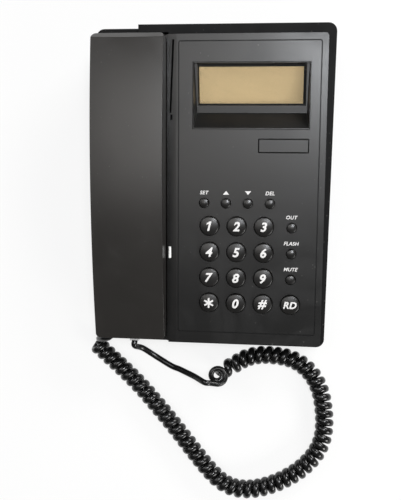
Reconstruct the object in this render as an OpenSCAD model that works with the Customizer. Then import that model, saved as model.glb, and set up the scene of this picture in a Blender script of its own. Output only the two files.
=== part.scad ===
// Corded desk telephone: a base with keypad and display, a handset in its cradle and a curly cord.
// Millimetres. X runs to the right, Y to the rear and Z up. The feet stand on Z = 0.
// On the face, u runs across, v runs up the slope and w stands square to it, with w = 0 at its surface.

/* [Base] */
// Width of the tray at the rear
base_w_rear = 146; // [142:1:156]
// Width of the tray at the front
base_w_front = 141; // [138:1:146]
// Depth of the tray
base_d = 193; // [190:1:205]
// Slope of the face toward the user, in degrees
face_slope = 8; // [6:0.5:9]
// Height of the face at mid depth
face_mid_z = 41; // [40:0.5:48]
// Thickness of the tray walls
tray_wall = 2.5; // [2:0.1:3]
// Thickness of the tray floor
tray_floor = 2.3; // [1.8:0.1:2.6]
// Corner radius of the tray
tray_corner = 5; // [3:0.5:7]
// Height of the feet under the tray
foot_h = 2.5; // [1.5:0.25:4]
// Diameter of a foot
foot_d = 12; // [8:1:16]
// Depth of the seat that a foot is glued into
foot_seat = 0.8; // [0.4:0.1:1.2]

/* [Cover] */
// Thickness of the cover
cover_t = 2.5; // [2:0.1:3]
// Drop of the tray rim below the face
skirt = 4.5; // [4:0.25:6]
// Rim left free at the right, at the front corner
rim_right = 2.3; // [1.5:0.1:3]
// Rim left free at the rear
rim_rear = 5.3; // [4:0.1:7]
// Rim left free at the front
rim_front = 0.7; // [0.2:0.1:1]
// Height and depth of the shadow line between tray and cover
seam = 0.75; // [0.4:0.05:1]
// Width of the ledge that carries the cover
ledge = 3; // [2.5:0.25:4]
// Thickness of that ledge
ledge_t = 2.7; // [2:0.1:3.5]
// Width of the groove round the panel
groove_w = 0.7; // [0.4:0.1:1.2]
// Depth of that groove
groove_t = 0.6; // [0.3:0.1:1]
// Corner radius of the cover at the right
cover_corner = 2; // [1:0.25:3]
// Diameter of the cover screws
screw_d = 3; // [2.5:0.25:3.5]
// Outer diameter of the screw bosses
boss_d = 8; // [7.5:0.25:9]

/* [Keys] */
// Diameter of a key
key_d = 11.6; // [9:0.2:12]
// Height of a key above the face
key_h = 2.2; // [1.5:0.1:3]
// Pitch of the keys across
key_pu = 16.5; // [16:0.1:17]
// Pitch of the keys down
key_pv = 15.85; // [15.6:0.05:16.2]
// Pitch from the third column to the right-hand column
side_pitch = 16.7; // [16:0.1:17.4]
// Diameter of a small button
button_d = 5.6; // [4.5:0.1:6.5]
// Height of a small button above the face
button_h = 1.7; // [1:0.1:2.5]
// Pitch of the upper row of buttons
button_p = 13.25; // [12.5:0.05:14]
// Rise of the upper row above the first row of keys
button_rise = 13.9; // [13:0.1:14.5]
// Gap round a key
key_gap = 0.5; // [0.3:0.05:0.7]
// Overlap of a key's collar under the cover
collar_over = 0.7; // [0.5:0.05:0.9]
// Thickness of that collar
collar_t = 1.4; // [1:0.1:1.8]
// Travel of a key
key_travel = 1.2; // [0.8:0.1:1.4]
// Diameter of a key's post
key_post = 4.2; // [3:0.1:5]
// Diameter of a small button's post
button_post = 3; // [2:0.1:3.5]

/* [Board] */
// Length of the pegs that carry the board
peg_l = 7; // [6.5:0.1:8]
// Diameter of a peg
peg_d = 4.8; // [4:0.1:5.5]
// Thickness of the board
board_t = 1.6; // [1:0.1:2]
// Thickness of the key mat's sheet
mat_t = 1.2; // [0.8:0.1:1.6]

/* [Display] */
// Bezel left at each side of the window
bay_side = 2.75; // [2.5:0.05:4.5]
// Bezel left above and below the window, together
bay_ends = 4.5; // [4:0.1:6]
// Depth of the bay at its upper end
bay_top = 1.6; // [1.4:0.05:2.2]
// Depth of the bay at its crease
bay_low = 8.2; // [7:0.1:9]
// Run of the strip below the crease
strip_l = 10; // [8:0.1:11]
// Slope of the side walls inward, over the full depth
bay_draft = 1.3; // [0.5:0.1:1.6]
// Thickness of the bezel
bezel_t = 2; // [1.5:0.1:2.2]
// Width of the window opening
window_w = 64.4; // [55:0.1:69]
// Height of the window opening
window_h = 25; // [20:0.1:27]
// Rim of the window behind the bezel
window_rim = 1.6; // [1:0.1:1.8]
// Thickness of the display glass
lcd_t = 2.7; // [2:0.1:3.2]
// Wall of the carrier behind the display
carrier_t = 1.2; // [0.8:0.1:1.3]

/* [Handset] */
// Width of the handset
hs_w = 43.5; // [41:0.1:44]
// Length by which the handset falls short of the tray
hs_short = 8; // [7:0.5:13]
// Height of the outer shell at the top of its arch
outer_h = 15; // [12:0.1:17]
// Fall of the arch toward the ear end
ear_fall = 5.5; // [3:0.1:7]
// Fall of the arch toward the mouth end
mouth_fall = 9; // [5:0.1:10]
// Height of the inner shell
inner_h = 9.5; // [9.5:0.1:10.5]
// Step in from the outer shell to the inner shell
hs_step = 1; // [0.5:0.1:1.5]
// Wall of the shells
hs_wall = 2.2; // [1.8:0.1:2.4]
// Bevel along the upper edges
hs_edge = 1.5; // [0.5:0.1:2]
// Crown of the outer face
hs_crown = 0.6; // [0.3:0.1:1]
// Run of the bevel at the upper end
hs_bevel = 3.1; // [2:0.1:4]
// Width of the cups
cup_w = 30; // [28:0.5:31]
// Length of the ear cup
ear_l = 42; // [36:0.5:43]
// Length of the mouth cup
mouth_l = 32; // [28:0.5:33]
// Depth of the cups
cup_h = 7.3; // [6.5:0.1:7.6]
// Gap between the handset and its cradle
cradle_gap = 0.5; // [0.3:0.05:0.8]
// Thickness of the cradle floor
cradle_t = 2.2; // [2:0.1:2.4]
// Gap round a cup in its well
well_gap = 0.8; // [0.5:0.1:1]
// Wall of a well
well_t = 2; // [1.8:0.1:2.2]

/* [Hook] */
// Diameter of the hook plunger
hook_d = 8.4; // [7:0.1:10]
// Rise of the plunger when the handset is lifted
hook_rise = 4; // [3:0.25:5]

/* [Sockets] */
// Width of a cord plug
plug_w = 7.6; // [7:0.1:7.8]
// Height of a cord plug
plug_h = 6.4; // [6:0.1:6.5]
// Gap round a plug in its socket
plug_gap = 0.2; // [0.15:0.05:0.3]
// Wall of a cord socket
jack_t = 1.2; // [0.8:0.1:1.4]
// Width of the line socket
line_w = 9.8; // [9:0.1:10.5]
// Height of the line socket
line_h = 6.8; // [6.2:0.1:7.2]

/* [Cord] */
// Thickness of the cord
cord_d = 3.5; // [3:0.1:3.5]
// Radius of the curls to the middle of the cord
coil_r = 4.2; // [3.8:0.1:4.3]
// Number of curls
curls = 60; // [50:1:61]

/* [Hidden] */
$fn = 48;
e = 0.01;
far = 300;
slack = 0.3;          // running gap between pieces that move past each other
fit = 0.1;            // gap between pieces that are screwed or pressed together
charcoal = [0.12, 0.12, 0.125];
darker = [0.06, 0.06, 0.065];
grey = [0.3, 0.3, 0.31];
steel = [0.62, 0.63, 0.65];
green = [0.08, 0.3, 0.16];
clear = [0.78, 0.81, 0.83, 0.6];

// Levels and edges of the tray and the cover
floor_top = foot_h + tray_floor;
rim_lv = -skirt;
face_y = rim_lv * sin(face_slope);
half_w = min(base_w_front, base_w_rear) / 2;
cover_r = half_w - rim_right;
cover_f = -base_d / 2 + rim_front;
cover_b = base_d / 2 - rim_rear;

// Handset and cradle
hs_split = -1;
hs_l = base_d - hs_short;
hs_u0 = -half_w - 0.5;
hs_u1 = hs_u0 + hs_w;
hs_v1 = cover_b + 0.2;
hs_v0 = hs_v1 - hs_l;
hs_under = hs_split - inner_h;
mid_u = (hs_u0 + hs_u1) / 2;
inner_v0 = hs_v0 + 5.6;
inner_v1 = hs_v1 - 1.4;
ear_v = hs_v1 - 25.4;
mouth_v = hs_v0 + 30.6;
cup_lv = hs_under - cup_h;
hs_screw_v = [mouth_v + 27, ear_v - 30];
hs_screw = 2.4;
hs_boss = 6.4;
capsule_d = cup_w - 5.4;
capsule_h = 6.6;
capsule_back_d = 16;
capsule_back_h = 3.4;
gasket_t = 2;
mic_d = 9.7;
mic_h = 5.6;
weight_w = 20;
weight_h = 4.8;

// The outer shell's back is an arch: a circle through its two ends and its top
function circle_of(a, b, c) = let (d = 2 * (a[0] * (b[1] - c[1]) + b[0] * (c[1] - a[1]) + c[0] * (a[1] - b[1])))
  [((a * a) * (b[1] - c[1]) + (b * b) * (c[1] - a[1]) + (c * c) * (a[1] - b[1])) / d,
   ((a * a) * (c[0] - b[0]) + (b * b) * (a[0] - c[0]) + (c * c) * (b[0] - a[0])) / d];
arch_top = [(hs_v0 + hs_v1) / 2, hs_split + outer_h];
arch_c = circle_of([hs_v0, arch_top[1] - mouth_fall], arch_top, [hs_v1, arch_top[1] - ear_fall]);
arch_r = norm(arch_top - arch_c);
function arch(v) = arch_c[1] + sqrt(arch_r * arch_r - (v - arch_c[0]) * (v - arch_c[0]));

// Cradle
cradle_u = hs_u1 + cradle_gap;
cradle_lv = hs_under - cradle_gap;
cradle_rim = cradle_lv - cradle_t;
cradle_l = -cover_r;
cradle_f = cover_f + (cradle_rim - rim_lv) * sin(face_slope) - 0.6;
cradle_b = cover_b + 1.2;
rear_step = -base_w_rear / 2 + 28;   // the rear rim stands high to the right of this line
channel_w = 6;                       // run of the slope beside the handset
channel_t = 2;                       // fall of that slope

// Panel, keys and board
panel = [cradle_u + 6.9, cover_r - 3.5, cover_f + 6.6, cover_b - 3.8];
key_block = 2 * key_pu + side_pitch;
key_share = 0.5584;                  // share of the free width that lies left of the keys
key_u = panel[0] + key_share * (panel[1] - panel[0] - key_block);
key_v = cover_f + 73.2;
side_u = key_u + key_block;
last_v = key_v - 3 * key_pv;
button_u = key_u - 3.4;
button_v = key_v + button_rise;
key_places = concat([for (i = [0 : 11]) [key_u + key_pu * (i % 3), key_v - key_pv * floor(i / 3)]], [[side_u, last_v]]);
button_places = concat([for (i = [0 : 3]) [button_u + button_p * i, button_v]], [for (i = [0 : 2]) [side_u, key_v - 0.4 - key_pv * i]]);
collar_low = -cover_t - collar_t;
board_lv = -cover_t - peg_l;
board_screw_d = 1.5;
board_rim = 1;
mat_edge = [key_u - key_d / 2 - 2.7, side_u + key_d / 2 + 1.8, last_v - key_d / 2 - 2.05, button_v + button_d / 2 + 3.3];

// Display: the bay's floor falls from its upper end to a crease, then a strip climbs back to the face.
bezel_gap = 0.2;
bay_w = window_w + 2 * bay_side;
bay_l = strip_l + window_h + bay_ends;
bay_share = 0.416;                   // share of the free width that lies right of the bay
bay_u = panel[1] - bay_share * (panel[1] - panel[0] - bay_w) - bay_w / 2;
bay_v1 = cover_b - 16.2;
bay_v0 = bay_v1 - bay_l;
bay_lip = 0.8;
crease_v = bay_v0 + strip_l;
tilt = atan((bay_low - bay_top) / (bay_v1 - bay_lip - crease_v));
function bay_floor(v) = -bay_top - (bay_v1 - bay_lip - v) * tan(tilt);
function bay_back(v) = bay_floor(v) - bezel_t / cos(tilt);
disp_v = bay_v1 - 0.7 - window_h / 2;
peg_places = [for (u = [key_u + key_pu / 2, side_u - side_pitch / 2], v = [key_v - 2.5 * key_pv, (button_v + bay_v0) / 2]) [u, v]];

// Small fittings on the face
badge = [bay_u + bay_w / 2 - 30.4, bay_u + bay_w / 2 - 0.1, bay_v0 - 14, bay_v0 - 5.3];
badge_t = 0.7;
lens = [cradle_u + 0.9, cradle_u + 2.7, key_v - 20.8, key_v - 13.4];
lens_lv = -9;
led_h = 2.2;
slot_l = 43;
slot_w = 1.2;
slot_v = cover_b - 3.1 - slot_l / 2;
pit = [cradle_u + 2, cradle_u + 3.4, slot_v - slot_l / 2 - 4.1, slot_v - slot_l / 2 - 0.9];
ringer_d = 20;
ringer_h = 4.5;

// Places of screws, feet and sockets
screw_places = [[cover_r - 8.2, cover_f + 9.8], [cover_r - 8.2, cover_b - 8.2], [cradle_u + 9, cover_b - 8.2],
  [cradle_u + 9, cover_f + 11.8], [hs_u0 + 13, -6]];
boss_z = foot_h + 11.5;
head_d = screw_d + 2.6;
head_z = foot_h + 3.5;
foot_places = [for (x = [-1, 1], y = [-1, 1]) [x * (base_w_front / 2 - 14.5), y * (base_d / 2 - 20.5)]];
front_y = -base_d / 2;
rear_y = base_d / 2;
base_jack_x = hs_u0 + 20;
base_jack_z = floor_top + jack_t + plug_gap + plug_h / 2;
base_jack_l = 13.2;
line_x = 20;
line_z = floor_top + 2.4 + line_h / 2;
line_l = 14;
jack_u = hs_u0 + 9.5;
jack_lv = hs_under + hs_wall + jack_t + plug_gap + plug_h / 2;
jack_l = 11.8;
hs_jack_v = inner_v0 + hs_wall;
hs_plug_end = inner_v0 - 3;
base_plug_end = front_y - 1.5;
ballast_l = 106;
ballast = [14, half_w - 12.5, front_y + foot_d + 18.5, front_y + foot_d + 18.5 + ballast_l];
ballast_h = 3.2;
hook_v = ear_v - 41;
hook_stem = 4;
bracket_l = 22;
bracket_t = 2;
switch_w = 5.6;
switch_l = 12;
hook_seat = cradle_rim - slack - hook_rise;    // top of the plunger's collar with the handset in place
spring_l = 6.5;
hook_plate = hook_seat - 1 - spring_l;

// Lead from the handset's plug to the first curl, axis of the curls round to their loose end, and the straight tail to the base,
// with y from the front edge
lead_route = [[-62.3, 2.6, 24], [-65.6, 1.1, 23], [-70, 0, 20.4], [-73.4, -0.8, 15.4]];
axis_route = [[-77.4, -4.6, 7], [-74.2, -7.6, 6.6], [-70.2, -11.2, 6.2], [-62.4, -17.8, 6.1], [-54.2, -25, 6.1], [-45.5, -33.3, 6.1],
  [-36.9, -42.5, 6.1], [-27.6, -52.8, 6.1], [-18.2, -63.8, 6.1], [-8.6, -75.2, 6.1], [0.2, -85, 6.1], [8.4, -91.9, 6.1],
  [17, -95.2, 6.1], [27, -95.3, 6.1], [37, -92.8, 6.1], [47.3, -88.2, 6.1], [57.8, -81.2, 6.1], [66.6, -71.8, 6.1],
  [71.5, -61.6, 6.1], [72.8, -50.9, 6.1], [72, -40.3, 6.1], [69.8, -30.3, 6.1], [65.4, -21.3, 6.1], [58.8, -14.4, 6.1],
  [50.4, -10.1, 6.1], [40.4, -8.4, 6.1], [30.4, -8.5, 6.1], [22.4, -10.6, 6.1], [17, -13.6, 6.1], [11.9, -16.8, 6.1],
  [8.1, -19.2, 7.3], [5.3, -21, 10.6], [4.3, -21.6, 15.1], [4.8, -20.7, 20.1]];
tail_route = [[-9.8, -22.6, 16.6], [-15.2, -21.1, 12.4], [-21.2, -19.4, 8.4], [-27.2, -17.9, 5], [-37.8, -12.7, 2], [-46.4, -7.2, 4.4]];
function from_front(p) = [for (q = p) q + [0, front_y, 0]];
coil_phase = -90;     // start angle of the first curl
coil_part = 1;        // steps of one more curl, so that the tail leaves toward the base
coil_loose = 1;       // growth of the last curl
coil_dip = 1.6;       // how much smaller the curl before it is
open_end = 0.02;      // share by which the curls lie more open where their axis rises
open_at = 0.945;      // where that starts along the axis
open_len = 0.045;     // and its length
ring = 8;             // rings to a curl

// Shared shapes

module on_face() translate([0, face_y, face_mid_z]) rotate([face_slope, 0, 0]) children();
module on_display() on_face() translate([bay_u, disp_v, bay_floor(disp_v)]) rotate([tilt, 0, 0]) children();
module box(x0, x1, y0, y1, z0, z1) translate([x0, y0, z0]) cube([x1 - x0, y1 - y0, z1 - z0]);
module block(w, d, z0, z1) translate([-w / 2, -d / 2, z0]) cube([w, d, z1 - z0]);
module rod(d, z0, z1) translate([0, 0, z0]) cylinder(d = d, h = z1 - z0);
module rbox(x0, x1, y0, y1, z0, z1, r) translate([0, 0, z0]) linear_extrude(z1 - z0) {
  translate([x0 + r, y0]) square([x1 - x0 - 2 * r, y1 - y0]);
  translate([x0, y0 + r]) square([x1 - x0, y1 - y0 - 2 * r]);
  for (x = [x0 + r, x1 - r], y = [y0 + r, y1 - r]) translate([x, y]) circle(r);
}
// A profile in (u, w) drawn out along v, and one in (v, w) drawn out along u.
module along_v(v0, v1) translate([0, v1, 0]) rotate([90, 0, 0]) linear_extrude(v1 - v0) children();
module along_u(u0, u1) translate([u0, 0, 0]) rotate([90, 0, 90]) linear_extrude(u1 - u0) children();
// A cup's outline grown by g on every side.
module cup(v, l, g, z0, z1) rbox(mid_u - cup_w / 2 - g, mid_u + cup_w / 2 + g, v - l / 2 - g, v + l / 2 + g, z0, z1, 8 + g);

// Rounded outline of a polygon given anticlockwise.
function unit(v) = v / norm(v);
function rounded(p, r, n) = [for (i = [0 : len(p) - 1])
  let (a = p[(i + len(p) - 1) % len(p)], v = p[i], b = p[(i + 1) % len(p)],
       d1 = unit(a - v), d2 = unit(b - v), half = acos(d1 * d2) / 2,
       c = v + unit(d1 + d2) * r / sin(half),
       s1 = v + d1 * r / tan(half) - c, s2 = v + d2 * r / tan(half) - c,
       a1 = atan2(s1[1], s1[0]), a2 = atan2(s2[1], s2[0]), a3 = a2 < a1 ? a2 + 360 : a2)
  for (k = [0 : n]) c + r * [cos(a1 + (a3 - a1) * k / n), sin(a1 + (a3 - a1) * k / n)]];
function tray_outline(inset) = let (f = base_w_front / 2 - inset, b = base_w_rear / 2 - inset, y = base_d / 2 - inset)
  rounded([[-f, -y], [f, -y], [b, y], [-b, y]], tray_corner - inset, 6);

// Base

module base_tray() color(darker) difference() {
  union() {
    difference() {
      translate([0, 0, foot_h]) linear_extrude(far) polygon(tray_outline(0));
      intersection() {
        translate([0, 0, floor_top]) linear_extrude(far) polygon(tray_outline(tray_wall));
        on_face() {
          box(cradle_u - 2, far, -far, far, -far, rim_lv - ledge_t);
          box(-far, cradle_u - 2 + e, -far, far, -far, cradle_rim - ledge_t);
          box(cradle_u - 2, cover_r - ledge, cover_f + ledge, cover_b - ledge, cradle_rim - far, far);
          box(mid_u - cup_w / 2 - well_gap - well_t - 0.5, cradle_u - 2 + e, -far, ear_v + ear_l / 2 + well_gap + well_t + 0.5,
              cradle_rim - ledge_t - e, far);
        }
      }
      on_face() {
        box(-far, far, -far, far, rim_lv, far);
        box(-far, cradle_u + 0.4, -far, cradle_b + 0.4, cradle_rim, far);
        box(-far, rear_step, cradle_b, far, cradle_rim, far);
      }
    }
    for (p = screw_places) translate(p) rod(boss_d + 1, foot_h + 1, boss_z);
  }
  for (p = screw_places) translate(p) {
    rod(head_d + 0.6, foot_h - 1, head_z);
    rod(screw_d + 0.4, foot_h, boss_z + 1);
  }
  for (p = foot_places) translate(p) rod(foot_d + 2 * fit, foot_h - 1, foot_h + foot_seat);
  socket_cut(base_jack_x, base_jack_z, plug_w + 2 * plug_gap, plug_h + 2 * plug_gap, front_y);
  socket_cut(line_x, line_z, line_w, line_h, rear_y);
}
module socket_cut(x, z, w, h, y) box(x - w / 2 - plug_gap, x + w / 2 + plug_gap, y - tray_wall - 1, y + tray_wall + 1,
  z - h / 2 - plug_gap, z + h / 2 + plug_gap);

module top_cover() color(charcoal) difference() {
  union() {
    on_face() {
      box(cradle_u, cover_r, cover_f, cover_b, -cover_t, 0);
      box(cover_r - cover_t, cover_r, cover_f, cover_b, rim_lv, -e);
      box(cradle_u, cover_r, cover_b - cover_t, cover_b, rim_lv, -e);
      box(cradle_u, cover_r, cover_f, cover_f + cover_t, rim_lv, -e);
      box(cradle_l, cradle_u + e, cradle_f, cradle_b, cradle_rim, cradle_lv);
      box(cradle_u, cradle_u + channel_w + 2, cover_f, cover_b, rim_lv, -e);
      box(cradle_u, cradle_u + cover_t, cover_f + ledge + fit, cover_b - ledge - fit, cradle_rim, -e);
      box(cradle_u, cradle_u + channel_w + 2, cover_f + ledge + fit, cover_b - ledge - fit, -cover_t - channel_t, -e);
      cup(ear_v, ear_l, well_gap + well_t, cup_lv - well_t, cradle_lv - e);
      cup(mouth_v, mouth_l, well_gap + well_t, cup_lv - well_t, cradle_lv - e);
      for (p = peg_places) translate(p) rod(peg_d, board_lv, -cover_t + e);
    }
    for (p = screw_places) let (under = p[0] < cradle_u ? cradle_lv - cradle_t / 2 : -cover_t / 2)
      translate(p) rod(boss_d, boss_z, face_mid_z + (p[1] - face_y) * tan(face_slope) + under / cos(face_slope));
  }
  on_face() {
    along_v(-far, far) polygon([[cradle_u - channel_w, -2 * channel_t], [cradle_u + 2 * channel_w, channel_t],
      [cradle_u - channel_w, channel_t]]);
    corner_cut(cover_b, 1);
    corner_cut(cover_f, -1);
    cup(ear_v, ear_l, well_gap, cup_lv, 0);
    cup(mouth_v, mouth_l, well_gap, cup_lv, 0);
    for (p = key_places) translate(p) rod(key_d + 2 * key_gap, -cover_t - 1, 1);
    for (p = button_places) translate(p) rod(button_d + 2 * key_gap, -cover_t - 1, 1);
    box(bay_u - bay_w / 2, bay_u + bay_w / 2, bay_v0, bay_v1, -cover_t - 1, 1);
    difference() {
      rbox(panel[0], panel[1], panel[2], panel[3], -groove_t, 1, 1.6);
      rbox(panel[0] + groove_w, panel[1] - groove_w, panel[2] + groove_w, panel[3] - groove_w, -2, 2, 1.6 - groove_w);
    }
    rbox(badge[0], badge[1], badge[2], badge[3], -badge_t, 1, 0.8);
    translate([cradle_u + 3, slot_v, 0]) rotate([0, 0, -2.4]) block(slot_w, slot_l, -3, 1);
    box(pit[0], pit[1], pit[2], pit[3], -3.4, 1);
    box(lens[0] - fit, lens[1] + fit, lens[2] - fit, lens[3] + fit, lens_lv - led_h, 1);
    translate([mid_u, hook_v, 0]) rod(hook_d + 2 * slack, cradle_rim - 1, 0);
    box(cover_r - seam, far, -far, far, -far, rim_lv + seam);
    box(cradle_u, far, cover_b - seam, far, -far, rim_lv + seam);
    for (p = peg_places) translate(p) rod(board_screw_d + fit, board_lv - 1, board_lv + 5.5);
  }
  for (p = screw_places) translate(p) rod(screw_d + fit, boss_z - 1, boss_z + 9);
}

// Rounds a right-hand corner of the cover at v, on the side that s points to.
module corner_cut(v, s) let (c = cover_corner, y = s * (c + 1)) translate([cover_r - c, v - s * c, 0]) difference() {
  box(0, c + 1, min(0, y), max(0, y), -2 * skirt, 1);
  rod(2 * c, -2 * skirt - 1, 2);
}

module display_bezel() color(darker) on_face() difference() {
  union() {
    for (s = [-1, 1]) translate([bay_u + s * (bay_w / 2 + bezel_gap), 0, 0])
      box(-0.9, 0.9, bay_v0 + 1.5, bay_v1 - 4, -cover_t - 1, -cover_t);
    along_u(bay_u - bay_w / 2 + bezel_gap, bay_u + bay_w / 2 - bezel_gap) polygon([[bay_v1 - bezel_gap, 0], [bay_v0 + bezel_gap, 0],
      [bay_v0 + bezel_gap, -bezel_t - 0.6], [crease_v - 1, bay_back(crease_v - 1)], [bay_v1 - bezel_gap, bay_back(bay_v1 - bezel_gap)]]);
  }
  intersection() {
    along_u(bay_u - bay_w, bay_u + bay_w) polygon([[bay_v1 - bay_lip, 1], [bay_v0 + bay_lip, 1], [bay_v0 + bay_lip, 0],
      [crease_v, -bay_low], [bay_v1 - bay_lip, -bay_top]]);
    along_v(bay_v0 - 9, bay_v1 + 9) let (a = bay_w / 2 - 0.6, b = a - bay_draft)
      polygon([[bay_u - a, 2], [bay_u + a, 2], [bay_u + a, 0], [bay_u + b, -bay_low - 1], [bay_u - b, -bay_low - 1], [bay_u - a, 0]]);
  }
  translate([bay_u, disp_v, bay_floor(disp_v)]) rotate([tilt, 0, 0]) block(window_w, window_h, -6, 6);
}

module display_window() color(clear) on_display() {
  block(window_w - 2 * bezel_gap, window_h - 2 * bezel_gap, -bezel_t - e, -0.6);
  block(window_w + 2 * window_rim, window_h + 2 * window_rim - 0.4, -bezel_t - 1, -bezel_t);
}

module lcd_glass() color([0.72, 0.63, 0.46]) on_display()
  block(window_w + 2 * window_rim - 0.6, window_h + 2 * window_rim - 1, -bezel_t - 1 - lcd_t, -bezel_t - 1);

module display_carrier() color(charcoal) on_display() difference() {
  block(window_w + 2 * (window_rim + carrier_t) + 0.4, window_h + 2 * (window_rim + carrier_t), -bezel_t - 1.8 - lcd_t, -bezel_t);
  block(window_w + 2 * window_rim + 0.4, window_h + 2 * window_rim, -bezel_t - 1 - lcd_t, 0);
}

module badge_plate() color(charcoal) on_face()
  rbox(badge[0] + bezel_gap, badge[1] - bezel_gap, badge[2] + bezel_gap, badge[3] - bezel_gap, -badge_t, 0.35, 0.6);

module key_mat() color([0.55, 0.56, 0.58]) on_face() difference() {
  union() {
    box(mat_edge[0], mat_edge[1], mat_edge[2], mat_edge[3], board_lv, board_lv + mat_t);
    for (p = key_places) translate(p) rod(key_post + 5, board_lv, collar_low - key_travel - 0.5);
    for (p = button_places) translate(p) rod(button_post + 3, board_lv, collar_low - key_travel - 0.5);
  }
  for (p = key_places) translate(p) rod(key_post + 2 * slack, board_lv - 1, 0);
  for (p = button_places) translate(p) rod(button_post + 2 * slack, board_lv - 1, 0);
  for (p = peg_places) translate(p) rod(peg_d + 2 * slack, board_lv - 1, 0);
}

module main_board() color(green) on_face() difference() {
  box(mat_edge[0] - board_rim, mat_edge[1] + board_rim, mat_edge[2] - board_rim, peg_places[3][1] + 1.4 * peg_d,
      board_lv - board_t, board_lv);
  for (p = peg_places) translate(p) rod(board_screw_d + 0.9, board_lv - board_t - 1, 0);
}

module board_screws() color(steel) on_face() for (p = peg_places) translate(p) {
  rod(board_screw_d, board_lv - board_t - e, board_lv + 4.5);
  rod(board_screw_d + 2.3, board_lv - board_t - 1.5, board_lv - board_t);
}

module indicator_lens() color([0.95, 0.95, 0.93]) on_face() box(lens[0], lens[1], lens[2], lens[3], lens_lv, -0.9);
module indicator_led() color([0.9, 0.9, 0.85]) on_face() box(lens[0] + fit, lens[1] - fit, lens[2] + 1.7, lens[3] - 1.7, lens_lv - led_h, lens_lv);

module ringer_disc() color([0.75, 0.62, 0.3]) on_face() translate([bay_u - 7, bay_v0 - 11, 0]) {
  rod(12, -cover_t - ringer_h, -cover_t);
  rod(ringer_d, -cover_t - ringer_h - 0.8, -cover_t - ringer_h + e);
}

module line_jack() color(grey) let (w = line_w / 2, h = line_h / 2) difference() {
  box(line_x - w - 2.1, line_x + w + 2.1, rear_y - tray_wall - line_l, rear_y - tray_wall, floor_top, line_z + h + 2);
  box(line_x - w, line_x + w, rear_y - tray_wall - line_l + 2, rear_y, line_z - h, line_z + h);
}

module cord_socket(w, h, l) difference() {
  box(-w / 2 - jack_t, w / 2 + jack_t, 0, l, -h / 2 - jack_t, h / 2 + jack_t);
  box(-w / 2, w / 2, -1, l - jack_t, -h / 2, h / 2);
}
module base_jack() color(grey) translate([base_jack_x, front_y + tray_wall, base_jack_z])
  cord_socket(plug_w + 2 * plug_gap, plug_h + 2 * plug_gap, base_jack_l);

// A plug from its tip at y = tip to the end that the cord leaves.
module cord_plug(tip, end) {
  box(-plug_w / 2, plug_w / 2, end + 1.5, tip, -plug_h / 2, plug_h / 2);
  box(-plug_w / 2 + 1, plug_w / 2 - 1, end, end + 1.6, -plug_h / 2 + 0.8, plug_h / 2 - 0.8);
}
module base_plug() color(clear) translate([base_jack_x, 0, base_jack_z]) cord_plug(front_y + tray_wall + base_jack_l - jack_t, base_plug_end);

module ballast_plate() color(steel) box(ballast[0], ballast[1], ballast[2], ballast[3], floor_top, floor_top + ballast_h);

module cover_screws() color(steel) for (p = screw_places) translate(p) {
  rod(head_d, head_z - 2.2, head_z);
  rod(screw_d, head_z - e, boss_z + 8);
}

module feet() color([0.05, 0.05, 0.05]) for (p = foot_places) translate(p) rod(foot_d, 0, foot_h + foot_seat);

// Hook under the cradle: a bracket holds the plunger, its spring and a switch.

module hook_bracket() color([0.7, 0.7, 0.68]) on_face() translate([mid_u, hook_v, 0]) difference() {
  box(-hook_d / 2 - 5, hook_d / 2 + switch_w + 2.9, -bracket_l / 2, bracket_l / 2, hook_plate - bracket_t, cradle_rim);
  box(-far, far, -bracket_l / 2 + bracket_t, bracket_l / 2 - bracket_t, hook_plate, 0);
  rod(hook_stem + 2 * slack, -far, 0);
}
module hook_plunger() color(charcoal) on_face() translate([mid_u, hook_v, 0]) {
  rod(hook_d, hook_seat - e, hs_under - slack);
  rod(hook_d + 2.6, hook_seat - 1, hook_seat);
  rod(hook_stem, hook_plate - 1.5 - hook_rise, hook_seat - 1 + e);
}
module hook_switch() color([0.1, 0.1, 0.11]) on_face() translate([mid_u, hook_v, 0])
  box(hook_d / 2 + 2.4, hook_d / 2 + 2.4 + switch_w, -switch_l / 2, switch_l / 2, hook_plate, hook_seat - 2);

// Sweeps: a path becomes a tube of k flat sides, cut square to the directions given for its ends.

function tangents(p) = [for (i = [0 : len(p) - 1]) unit(p[min(i + 1, len(p) - 1)] - p[max(i - 1, 0)])];
function across(n, t) = unit(n - (n * t) * t);
function normals(t, n0) = [for (i = 0, n = across(n0, t[0]); i < len(t); i = i + 1, n = i < len(t) ? across(n, t[i]) : n) n];
module tube(p, d, k, first, last) {
  m = len(p);
  t0 = tangents(p);
  t = [for (i = [0 : m - 1]) i == 0 ? first : i == m - 1 ? last : t0[i]];
  n = normals(t, [0, 0, 1]);
  polyhedron(
    points = [for (i = [0 : m - 1]) for (j = [0 : k - 1]) p[i] + d / 2 * (cos(360 * j / k) * n[i] + sin(360 * j / k) * cross(t[i], n[i]))],
    faces = concat(
      [for (i = [0 : m - 2]) for (j = [0 : k - 1]) [i * k + j, (i + 1) * k + j, (i + 1) * k + (j + 1) % k]],
      [for (i = [0 : m - 2]) for (j = [0 : k - 1]) [i * k + j, (i + 1) * k + (j + 1) % k, i * k + (j + 1) % k]],
      [for (j = [1 : k - 2]) [0, j, j + 1]],
      [for (j = [1 : k - 2]) [(m - 1) * k, (m - 1) * k + j + 1, (m - 1) * k + j]]));
}

spring_wire = 0.8;
spring_path = let (z0 = hook_plate + spring_wire / 2 + e, n = 40, r = hook_stem / 2 + 1.2)
  [for (i = [0 : n]) [r * cos(45 * i), r * sin(45 * i), z0 + (spring_l - spring_wire - 2 * e) * i / n]];
module hook_spring() color(steel) on_face() translate([mid_u, hook_v, 0])
  tube(spring_path, spring_wire, 6, unit(spring_path[1] - spring_path[0]), unit(spring_path[40] - spring_path[39]));

// Curly cord: a lead from the handset's plug, then curls worked out round the axis.

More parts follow.
